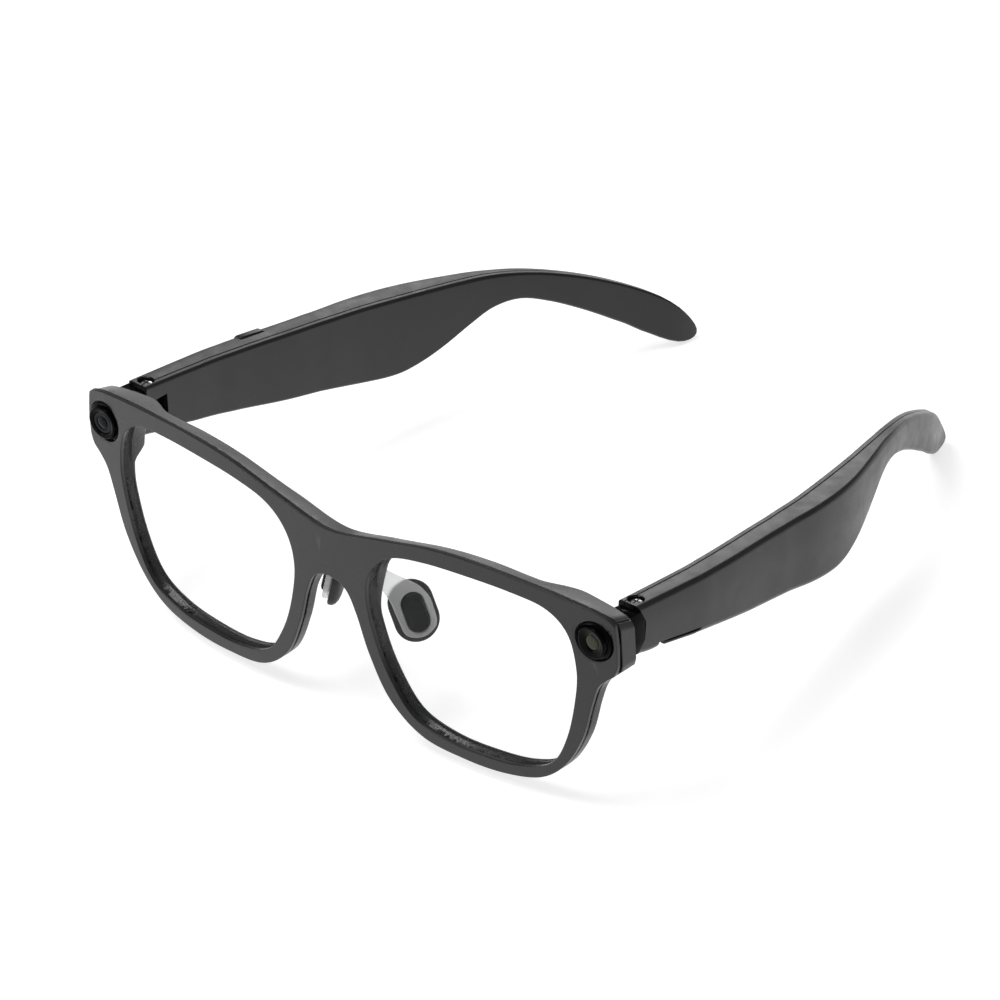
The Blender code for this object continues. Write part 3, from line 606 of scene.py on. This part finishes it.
def bezel_profile(inner):
    """A drum that stands out of a flange, its mouth dished towards the window."""
    return [(inner, OPTIC_REAR), (inner, DRUM_TOP + 0.4), (inner + 0.1, DRUM_TOP + 0.3),
            (2.56, DRUM_TOP + 0.22), (3.05, DRUM_TOP + 0.04), (3.2, DRUM_TOP),
            (3.4, DRUM_TOP + 0.02), (3.55, DRUM_TOP + 0.12), (3.6, DRUM_TOP + 0.28),
            (3.62, OPTIC_FLANGE - 0.1), (3.75, OPTIC_FLANGE + 0.02), (4.1, OPTIC_FLANGE + 0.04),
            (4.2, OPTIC_FLANGE + 0.14), (4.2, OPTIC_REAR)]


def build_light():
    centre = (OPTIC_X, 0, OPTIC_Z)
    turned("fine_light_bezel", bezel_profile(1.7), centre, STAND, "front", "gloss", sharp=40)
    top = WINDOW_TOP
    window = [(0, top + 0.02), (1.1, top + 0.04), (1.5, top + 0.08), (1.62, top + 0.16),
              (1.62, top + 0.8), (0, top + 0.8)]
    turned("fine_light_window", window, centre, STAND, "front", "light")


def build_camera_eye():
    """The camera's bezel, and its glass with a raised ring round the dished middle."""
    centre = (-OPTIC_X, 0, OPTIC_Z)
    turned("fine_camera_bezel", bezel_profile(2.5), centre, STAND, "front", "gloss", sharp=40)
    top = WINDOW_TOP
    window = [(0, top - 0.22), (0.5, top - 0.2), (0.9, top - 0.12), (1.2, top), (1.25, top + 0.16),
              (1.6, top + 0.18), (1.66, top + 0.04), (2.25, top), (2.4, top + 0.1),
              (2.4, top + 0.8), (0, top + 0.8)]
    turned("fine_camera_window", window, centre, STAND, "front", "camera", sharp=25)


# ---------------------------------------------------------------- nose pads

def pad_place(side, along_long, across, out):
    """A point in a nose pad's frame: down its length, towards the front, and to the nose."""
    forward = PAD_NORMAL.cross(PAD_LONG)
    point = PAD_CENTRE + PAD_LONG * along_long + forward * across + PAD_NORMAL * out
    return Vector((side * point.x, point.y, point.z))


def root_cutter(side, margin):
    """Room in the bridge for the root of a nose arm."""
    rings = []
    for out in (-ROOT_HALF - margin, ROOT_HALF + margin):
        corners = [(-10.2, 3.1 - margin), (-14.8, 3.9 - margin), (-14.8, 9.2 + margin),
                   (-10.0, 8.0 + margin)]
        rings.append([pad_place(side, u, v, out) for u, v in corners])
    return lofted("cutter", rings, STAND)


def build_nose_pad(side, word):
    """The clear arm with a hole for the core, the core, and the soft pad on it."""
    def place(u, v, level):
        return pad_place(side, u, v, level)

    outline = resample(smooth_closed(NOSE_ARM), 0.5, closed=True)
    outline = list(reversed(outline)) if area(outline) < 0 else outline
    hole = oval(*ARM_HOLE)
    walls = [[(grow(outline, -0.35), -0.65), (grow(outline, -0.1), -0.55), (outline, -0.3),
              (outline, 0.3), (grow(outline, -0.1), 0.55), (grow(outline, -0.35), 0.65)],
             [(grow(hole, 0.3), -0.65), (grow(hole, 0.08), -0.55), (hole, -0.3), (hole, 0.3),
              (grow(hole, 0.08), 0.55), (grow(hole, 0.3), 0.65)]]
    stacked("fine_nose_arm_" + word, walls, place, STAND, "front", "clear", grid=0)
    core = oval(*CORE_OVAL)
    walls = [[(grow(core, -1.3), -1.45), (grow(core, -0.6), -1.35), (grow(core, -0.2), -1.1),
              (core, -0.7), (core, 0.6)]]
    stacked("fine_nose_core_" + word, walls, place, STAND, "front", "gloss", grid=0)
    pad = oval(*PAD_OVAL)
    walls = [[(grow(pad, -0.4), 0.8), (grow(pad, -0.08), 0.95), (pad, 1.3), (grow(pad, -0.1), 1.9),
              (grow(pad, -0.6), 2.5), (grow(pad, -1.5), 2.95), (grow(pad, -2.6), 3.15),
              (grow(pad, -3.6), 3.2)]]
    made = stacked("fine_nose_pad_" + word, walls, place, STAND, "front", "silicone", grid=0)


# ---------------------------------------------------------------- temples

def top_line(s):
    """The temple's top edge: straight, then bending down over the ear."""
    past = max(0.0, s - ARCH_START)
    return -past * past / (2 * ARCH_RADIUS)


def top_and_bottom(s):
    """The temple's edges, closing in a half round at its tip."""
    top, bottom = top_line(s), along(UNDERSIDE, s)
    middle = (top + bottom) / 2
    past = max(0.0, s - TIP_START) / (TEMPLE_END - TIP_START)
    half = (top - bottom) / 2 * math.sqrt(max(0.0, 1 - past * past) + 0.004)
    return middle + half, middle - half


def inner_x(s):
    return CENTRE_AT_HINGE - along(INWARD_BOW, s) - along(THICKNESS, s) / 2


def temple_ring(side, s, corners):
    return [(side * (inner_x(s) + across), s, height) for across, height in corners]


def softness(s):
    """How much of the full corner rounding a section has; less where it is small."""
    top, bottom = top_and_bottom(s)
    return min(1.0, (top - bottom) / 7.0) * min(1.0, along(THICKNESS, s) / 4.5)


def shell_corners(s):
    """The outer half's section: a flat top, a shoulder, a crease line and a rounded underside."""
    top, bottom = top_and_bottom(s)
    thick = along(THICKNESS, s)
    tall = top - bottom
    soft = softness(s)
    start = SPLIT + SEAM
    corners = [(start, top), (thick - 1.05 * soft, top), (thick - 0.32 * soft, top - 0.75 * soft),
               (thick, top - 0.36 * tall), (thick - 0.3 * soft, bottom + 1.1 * soft),
               (thick - 1.3 * soft, bottom), (start, bottom)]
    radii = [0.12, 0.35 * soft, 0.6 * soft, 2.2 * soft, 1.2 * soft, 1.0 * soft, 0.12]
    return rounded(corners, radii, per=5)


def cover_corners(s):
    """The inner half's section."""
    top, bottom = top_and_bottom(s)
    soft = softness(s)
    corners = [(0, top - 0.5 * soft), (0.45, top), (SPLIT, top), (SPLIT, bottom),
               (0.45, bottom), (0, bottom + 0.5 * soft)]
    return rounded(corners, [0.5 * soft, 0.4, 0.12, 0.12, 0.4, 0.5 * soft], per=5)


def stations(start, end, spacing):
    count = max(1, math.ceil((end - start) / spacing))
    return [mix(start, end, k / count) for k in range(count + 1)]


def temple_stations():
    """Stations along the temple, closer together round the tip."""
    tip = [TIP_START + (TEMPLE_END - TIP_START) * math.sin(math.radians(angle))
           for angle in (12, 24, 36, 46, 55, 63, 70, 76, 81, 85, 88, 90)]
    return stations(TEMPLE_START, TIP_START, TEMPLE_SPACING) + tip


def temple_cutter(side, span, corners_at, matrix):
    rings = [temple_ring(side, s, corners_at(s)) for s in stations(*span, CUTTER_SPACING)]
    return lofted("cutter", rings, matrix)


def inside_corners(s):
    """The section of the shell's hollow."""
    top, bottom = top_and_bottom(s)
    high = along(THICKNESS, s) - 1.4
    return [(0.5, top - WALL), (high, top - WALL), (high, bottom + WALL), (0.5, bottom + WALL)]


def block_front(height):
    """How far forward the hinge block reaches, a gap behind the end piece's flat rear."""
    ahead = HINGE.y - END_REAR - BLOCK_GAP
    return (-ahead + math.sin(TEMPLE_TILT) * height) / math.cos(TEMPLE_TILT)


def build_screw(word, matrix, body):
    """A countersunk screw with a cross recess."""
    screw = turned("fine_hinge_screw_" + word, SCREW, (0, 0, 0), matrix, body, "steel", axis="Z",
                   steps=48)
    cut(screw, *[box_cutter((-x, -y, -1.2), (x, y, 0.5), matrix) for x, y in ((0.9, 0.2), (0.2, 0.9))])


def build_leaf(side, word, matrix):
    """The metal leaf held by the end piece: a foot, an arm and the eye round the screw."""
    points = []
    for k in range(41):
        angle = math.radians(-48 + 276 * k / 40)
        points.append((EYE_RADIUS * math.cos(angle), EYE_RADIUS * math.sin(angle)))
    points += [(-1.4, FOOT_BACK), (-2.5, FOOT_BACK), (-2.5, FOOT_FRONT), (3.0, FOOT_FRONT),
               (3.0, FOOT_BACK), (1.4, FOOT_BACK)]
    loop = points if area(points) > 0 else list(reversed(points))
    bore = circle(0, 0, EYE_BORE, 32)
    top, bottom = SLOT_TOP - 0.35, SLOT_FLOOR + 0.35

    def place(u, v, level):
        return Vector((side * u, v, level))

    walls = [[(grow(loop, -0.12), bottom), (loop, bottom + 0.12), (loop, top - 0.12),
              (grow(loop, -0.12), top)],
             [(bore, bottom), (bore, bottom + 0.12), (bore, top - 0.12), (bore, top)]]
    # The leaf's steel is coloured near black: painted shade for the dark gap between the end piece and the hinge
    # block.
    stacked("fine_hinge_leaf_" + word, walls, place, matrix, "front", "black_steel", grid=0)


def v_depth(height):
    """How far back the shell's V-shaped front edge is at one height."""
    heights = [point[0] for point in SHELL_V]
    for i in range(len(heights) - 1):
        if heights[i + 1] <= height <= heights[i]:
            t = (heights[i] - height) / (heights[i] - heights[i + 1])
            return mix(SHELL_V[i][1], SHELL_V[i + 1][1], t)
    return 0.0


def v_cutter(side, matrix):
    """Takes the V out of the shell's outer skin, where the hinge block fills it."""
    ahead = TEMPLE_START - 1.0
    outline = [(ahead, SHELL_V[0][0]), *[(TEMPLE_START + depth, z) for z, depth in SHELL_V],
               (ahead, SHELL_V[-1][0])]
    rings = [[(side * x, y, z) for y, z in outline] for x in (V_FROM, 6.0)]
    return lofted("cutter", rings, matrix)


def leaf_notch(side, pivot):
    """Room for the leaf's eye and arm, through every swing of the temple."""
    xs = sorted((side * -6.0, side * 2.3))
    return box_cutter((xs[0], -9.0, SLOT_FLOOR), (xs[1], 3.1, SLOT_TOP), pivot)


def screw_well(pivot):
    return turned("cutter", SCREW_WELL, (0, 0, 0), pivot, axis="Z", steps=48)


def build_hinge_block(side, word, matrix, pivot, body):
    """The glossy block at the temple's front end; its rear fills the V in the shell."""
    back = TEMPLE_START - 0.12
    sections = []
    for z, inset in BLOCK_LEVELS:
        front = block_front(z)
        rear = back + v_depth(z)
        corners = [(-2.1 + inset, back), (-2.1 + inset, front + 1.4), (-0.7, front + inset),
                   (2.4, front + inset), (3.2 - inset, front + 0.8 + inset), (3.2 - inset, rear),
                   (V_FROM + 0.2, rear), (V_FROM + 0.2, back)]
        ring = rounded(corners, [0.05, 0.25, 0.3, 0.3, 0.25, 0.05, 0.05, 0.05])
        sections.append([(side * x, y, z) for x, y in ring])
    made = lofted("fine_hinge_block_" + word, sections, matrix, body, "gloss", sharp=40)
    cut(made, leaf_notch(side, pivot))


def build_temple(side, word):
    """A shell and a cover with the hinge's pieces at their front end."""
    matrix = hinge_matrix(side)
    pivot = pivot_matrix(side)
    body = "temple_" + word
    spots = temple_stations()
    shell = lofted("fine_temple_shell_" + word,
                   [temple_ring(side, s, shell_corners(s)) for s in spots], matrix, body, "temple")
    cover = lofted("fine_temple_cover_" + word,
                   [temple_ring(side, s, cover_corners(s)) for s in spots], matrix, body, "temple")
    build_hinge_block(side, word, matrix, pivot, body)
    hollow = temple_cutter(side, HOLLOW, inside_corners, matrix)
    control = slider_slot(matrix) if side > 0 else button_slot(matrix)
    cut(shell, hollow, leaf_notch(side, pivot), screw_well(pivot), v_cutter(side, matrix), control,
        *vents(side, matrix))
    cut(cover, leaf_notch(side, pivot), screw_well(pivot))
    build_screw(word, pivot, body)
    build_leaf(side, word, pivot)


def vent_corners(s):
    bottom = top_and_bottom(s)[1]
    ring = [(3.3, bottom + 2.0), (4.6, bottom + 2.0), (4.6, bottom - 1.0), (3.3, bottom - 1.0)]
    return rounded(ring, [0.1] * 4)


def vents(side, matrix):
    """A row of short slots through the underside, below the speaker."""
    starts = [VENT_START + VENT_PITCH * k for k in range(VENT_COUNT)]
    return [temple_cutter(side, (start, start + VENT_LENGTH), vent_corners, matrix)
            for start in starts]


def button_slot(matrix):
    def slot(s):
        thick = along(THICKNESS, s)
        return [(thick - 2.45, 1.5), (thick + 1.5, 1.5), (thick + 1.5, -2.3), (thick - 2.45, -2.3)]

    return temple_cutter(-1, (BUTTON[0] - BUTTON_GAP, BUTTON[1] + BUTTON_GAP), slot, matrix)


def build_button(matrix):
    """The capture button: a low key with rounded edges at the temple's outer top edge."""
    def key(s, inset):
        thick = along(THICKNESS, s)
        ring = [(thick - 2.3 + inset, 0.32 - inset), (thick - 0.75 - inset, 0.32 - inset),
                (thick - 0.15 - inset, -0.35), (thick - 0.15 - inset, -1.5),
                (thick - 2.3 + inset, -1.5)]
        return rounded(ring, [0.25, 0.3, 0.3, 0.1, 0.1], per=5)

    ends = [(0.0, 0.3), (0.06, 0.16), (0.2, 0.05), (0.4, 0.0)]
    spans = [(BUTTON[0] + step, inset) for step, inset in ends]
    spans.append((sum(BUTTON) / 2, 0.0))
    spans += [(BUTTON[1] - step, inset) for step, inset in reversed(ends)]
    rings = [temple_ring(-1, s, key(s, inset)) for s, inset in spans]
    lofted("fine_capture_button", rings, matrix, "capture_button", "temple")


def slider_seat(matrix):
    """The slider's frame: along the temple's underside, from the front end of its slot."""
    rise = along(UNDERSIDE, SLIDER_START + SLIDER_SLOT) - along(UNDERSIDE, SLIDER_START)
    place = Matrix.Translation(Vector((0, SLIDER_START, along(UNDERSIDE, SLIDER_START))) * MM)
    return matrix @ place @ Matrix.Rotation(math.atan2(rise, SLIDER_SLOT), 4, "X")


def slider_slot(matrix):
    return box_cutter((SLIDER_OUT - 2.3, 0.1, -2.5), (SLIDER_OUT + 2.0, SLIDER_SLOT - 0.1, 1.6),
                      slider_seat(matrix))


def build_slider(matrix):
    """The power slider, with grooves for the fingertip."""
    seat = slider_seat(matrix)
    start, end = SLIDER_TRAVEL + 0.6, SLIDER_SLOT - 0.3
    rings = []
    for y, inset in ((start, 0.3), (start + 0.08, 0.12), (start + 0.3, 0.0), (end - 2.0, 0.0),
                     (end - 0.4, 0.15), (end, 0.4)):
        low, outer = -0.05 + inset, SLIDER_OUT - inset
        corners = [(SLIDER_OUT - 2.1, 1.3), (SLIDER_OUT - 2.1, low), (outer - 1.3, low),
                   (outer, low + 0.95), (outer, 1.3)]
        ring = rounded(corners, [0.1, 0.2, 0.5, 0.3, 0.05])
        rings.append([(x, y, z) for x, z in ring])
    slider = lofted("fine_power_slider", rings, seat, "power_slider", "temple")
    grooves = []
    for k in range(4):
        y = start + 2.6 + GROOVE_PITCH * k
        grooves.append(box_cutter((SLIDER_OUT - 3, y, -1), (SLIDER_OUT + 1, y + GROOVE_WIDTH, 0.07),
                                  seat))
    cut(slider, *grooves)


def build_contact(number, s, matrix):
    centre = (inner_x(s) + 0.2, s, CONTACT_HEIGHT)
    turn = matrix @ Matrix.Translation(Vector(centre) * MM) @ Matrix.Rotation(math.radians(90), 4, "Z")
    profile = [(0, 0.42), (0.85, 0.46), (1.1, 0.49), (1.2, 0.42), (1.2, -0.5), (0, -0.5)]
    turned("fine_charge_contact_%d" % number, profile, (0, 0, 0), turn, "temple_left", "gold")


# ---------------------------------------------------------------- materials

def nodes_of(name):
    made = bpy.data.materials.new(name)
    made.use_nodes = True
    tree = made.node_tree
    return made, tree, tree.nodes["Principled BSDF"]


def noise(tree, scale, detail=3.0, roughness=0.5):
    """Cloudy noise fixed to the piece."""
    place = tree.nodes.new("ShaderNodeTexCoord")
    made = tree.nodes.new("ShaderNodeTexNoise")
    made.inputs["Scale"].default_value = scale
    made.inputs["Detail"].default_value = detail
    made.inputs["Roughness"].default_value = roughness
    tree.links.new(place.outputs["Object"], made.inputs["Vector"])
    return made.outputs["Fac"]


def spread(tree, value, low_in, high_in, low, high):
    """Maps a value from one range to another."""
    made = tree.nodes.new("ShaderNodeMapRange")
    for socket, number in (("From Min", low_in), ("From Max", high_in), ("To Min", low),
                           ("To Max", high)):
        made.inputs[socket].default_value = number
    tree.links.new(value, made.inputs["Value"])
    return made.outputs["Result"]


def blend_colours(tree, amount, first, second):
    made = tree.nodes.new("ShaderNodeMix")
    made.data_type = "RGBA"
    tree.links.new(amount, made.inputs["Factor"])
    for socket, value in ((6, first), (7, second)):
        if isinstance(value, tuple):
            made.inputs[socket].default_value = (*value, 1.0)
        else:
            tree.links.new(value, made.inputs[socket])
    return made.outputs[2]


def bumped(tree, shader, height, strength, distance):
    made = tree.nodes.new("ShaderNodeBump")
    made.inputs["Strength"].default_value = strength
    made.inputs["Distance"].default_value = distance
    tree.links.new(height, made.inputs["Height"])
    tree.links.new(made.outputs["Normal"], shader.inputs["Normal"])


def moulded(name, colour, worn, roughness, grain, grain_strength, coat=0.0, metallic=0.0,
            spread_of_roughness=0.06, specular=0.5):
    """Moulded or milled stuff: cloudy colour, worn edges, uneven sheen and a fine grain."""
    made, tree, shader = nodes_of(name)
    cloud = noise(tree, 90.0, 4.0)
    darker = tuple(channel * 0.82 for channel in colour)
    body = blend_colours(tree, spread(tree, cloud, 0.35, 0.65, 0.0, 1.0), darker, colour)
    shape = tree.nodes.new("ShaderNodeNewGeometry")
    edges = spread(tree, shape.outputs["Pointiness"], 0.53, 0.62, 0.0, 0.7)
    tree.links.new(blend_colours(tree, edges, body, worn), shader.inputs["Base Color"])
    sheen = spread(tree, noise(tree, 260.0, 5.0, 0.65), 0.3, 0.7, roughness - spread_of_roughness,
                   roughness + spread_of_roughness)
    tree.links.new(sheen, shader.inputs["Roughness"])
    shader.inputs["Metallic"].default_value = metallic
    shader.inputs["Specular IOR Level"].default_value = specular
    shader.inputs["Coat Weight"].default_value = coat
    shader.inputs["Coat Roughness"].default_value = 0.12
    bumped(tree, shader, noise(tree, grain, 2.0), grain_strength, 0.00005)
    return made


def clear(name, colour, alpha, roughness, transmission):
    """Clear plastic, faintly clouded and with an uneven sheen."""
    made, tree, shader = nodes_of(name)
    tint = blend_colours(tree, spread(tree, noise(tree, 60.0), 0.3, 0.7, 0.0, 1.0), colour,
                         tuple(channel * 0.97 for channel in colour))
    tree.links.new(tint, shader.inputs["Base Color"])
    shine = spread(tree, noise(tree, 300.0, 4.0), 0.3, 0.7, roughness, roughness * 1.6 + 0.01)
    tree.links.new(shine, shader.inputs["Roughness"])
    shader.inputs["Alpha"].default_value = alpha
    shader.inputs["Transmission Weight"].default_value = transmission
    shader.inputs["IOR"].default_value = 1.45
    return made


MATERIALS = {
    "satin": moulded("satin_black_plastic", (0.011, 0.011, 0.0115), (0.04, 0.04, 0.041), 0.30,
                     2600.0, 0.05, specular=0.42),
    "temple": moulded("satin_black_temple", (0.011, 0.011, 0.0115), (0.04, 0.04, 0.041), 0.32,
                      2600.0, 0.05, specular=0.42),
    "gloss": moulded("gloss_black_plastic", (0.002, 0.002, 0.0022), (0.01, 0.01, 0.01), 0.10,
                     900.0, 0.04, spread_of_roughness=0.03, specular=0.04),
    "lens": clear("clear_lens", (0.50, 0.51, 0.52), 0.025, 0.01, 0.0),
    "camera": moulded("camera_glass", (0.008, 0.009, 0.013), (0.03, 0.03, 0.04), 0.06, 900.0, 0.02,
                      spread_of_roughness=0.03, specular=0.08),
    "light": moulded("light_window_olive", (0.034, 0.037, 0.018), (0.05, 0.05, 0.03), 0.22, 700.0,
                     0.05, specular=0.15),
    "steel": moulded("bright_steel", (0.60, 0.60, 0.61), (0.80, 0.80, 0.80), 0.24, 1800.0, 0.1,
                     metallic=1.0),
    # The hinge leaf's steel, coloured near black: painted shade for the dark gap between the end piece and the
    # hinge block.
    "black_steel": moulded("black_steel", (0.016, 0.016, 0.017), (0.05, 0.05, 0.05), 0.34, 1800.0,
                           0.1, metallic=0.5),
    "gold": moulded("gold_plated_contact", (0.80, 0.56, 0.22), (0.95, 0.75, 0.40), 0.22, 1500.0,
                    0.08, metallic=1.0),
    "clear": clear("clear_nose_arm", (0.98, 0.98, 0.985), 0.5, 0.08, 0.35),
    "silicone": moulded("soft_silicone", (0.014, 0.014, 0.0145), (0.03, 0.03, 0.03), 0.5, 1400.0,
                        0.3, specular=0.3),
    "copper": moulded("flex_cable", (0.45, 0.22, 0.05), (0.6, 0.35, 0.12), 0.4, 900.0, 0.1),
    "board": moulded("circuit_board_green", (0.01, 0.07, 0.035), (0.05, 0.12, 0.08), 0.45, 900.0,
                     0.2),
    "foil": moulded("battery_foil", (0.42, 0.43, 0.45), (0.6, 0.6, 0.6), 0.35, 700.0, 0.4,
                    metallic=0.6),
    "dark": moulded("dark_component", (0.02, 0.02, 0.02), (0.05, 0.05, 0.05), 0.6, 1200.0, 0.2),
    "lamp": moulded("lamp_body", (0.7, 0.69, 0.55), (0.8, 0.8, 0.7), 0.4, 900.0, 0.1),
}
SLOTS = {name: name for name in MATERIALS}
SLOTS["temple"] = "satin"


def dress_cad_nodes():
    """The inner pieces stay as CAD made them, with these materials in their slots."""
    slots = {entry["node"]: entry["material_slot"] for entry in frame["record"]["subparts"]}
    for name, thing in frame["nodes"].items():
        if not thing.hide_render:
            thing.data.materials.clear()
            thing.data.materials.append(MATERIALS[slots[name]])


# ---------------------------------------------------------------- stage

def soft_light(name, place, target, size, power):
    data = bpy.data.lights.new(name, "AREA")
    data.shape = "RECTANGLE"
    data.size, data.size_y = size
    data.energy = power
    made = bpy.data.objects.new(name, data)
    made.location = place
    aim = Vector(target) - Vector(place)
    made.rotation_euler = aim.to_track_quat("-Z", "Y").to_euler()
    bpy.context.scene.collection.objects.link(made)
    return made


def build_stage():
    shape = bmesh.new()
    bmesh.ops.create_grid(shape, x_segments=8, y_segments=8, size=4.0)
    mesh = bpy.data.meshes.new("floor")
    shape.to_mesh(mesh)
    shape.free()
    floor = bpy.data.objects.new("floor", mesh)
    floor.location.z = -0.0004
    bpy.context.scene.collection.objects.link(floor)
    made, tree, shader = nodes_of("pale_floor")
    shader.inputs["Base Color"].default_value = (0.70, 0.70, 0.70, 1.0)
    shader.inputs["Roughness"].default_value = 0.9
    shader.inputs["Emission Color"].default_value = (1.0, 1.0, 1.0, 1.0)
    shader.inputs["Emission Strength"].default_value = 0.68
    mesh.materials.append(made)
    world = bpy.data.worlds.new("studio")
    world.use_nodes = True
    world.node_tree.nodes["Background"].inputs["Color"].default_value = (1.0, 1.0, 1.0, 1.0)
    world.node_tree.nodes["Background"].inputs["Strength"].default_value = 0.26
    bpy.context.scene.world = world
    lights = [soft_light(*light) for light in LIGHTS]
    bpy.context.scene.view_settings.view_transform = "Standard"


def build_camera():
    """The view down on the glasses from the wearer's left front."""
    forward = Vector((-math.sin(VIEW_AZIMUTH) * math.cos(VIEW_ELEVATION),
                      math.cos(VIEW_AZIMUTH) * math.cos(VIEW_ELEVATION),
                      -math.sin(VIEW_ELEVATION)))
    right = Vector((math.cos(VIEW_AZIMUTH), math.sin(VIEW_AZIMUTH), 0))
    up = right.cross(forward)
    rolled_right = right * math.cos(VIEW_ROLL) + up * math.sin(VIEW_ROLL)
    rolled_up = up * math.cos(VIEW_ROLL) - right * math.sin(VIEW_ROLL)
    aim = rolled_right * AIM_RIGHT + rolled_up * AIM_UP
    place = (aim - forward * VIEW_DISTANCE) * MM
    turn = Matrix((rolled_right, rolled_up, -forward)).transposed().to_4x4()
    data = bpy.data.cameras.new("camera")
    data.lens = LENS_LENGTH
    data.sensor_width = 36.0
    data.clip_start = 0.1
    data.clip_end = 20.0
    camera = bpy.data.objects.new("camera", data)
    camera.matrix_world = STAND @ Matrix.Translation(place) @ turn
    bpy.context.scene.collection.objects.link(camera)
    bpy.context.scene.camera = camera


def main():
    build_camera()
    build_stage()
    build_front_plate()
    build_housing()
    build_light()
    build_camera_eye()
    for side, word in ((1, "left"), (-1, "right")):
        build_lens(side, word)
        build_end_cap(side, word)
        build_nose_pad(side, word)
        build_temple(side, word)
    build_slider(hinge_matrix(1))
    build_button(hinge_matrix(-1))
    for number, s in enumerate(CONTACTS, start=1):
        build_contact(number, s, hinge_matrix(1))
    dress_cad_nodes()


main()
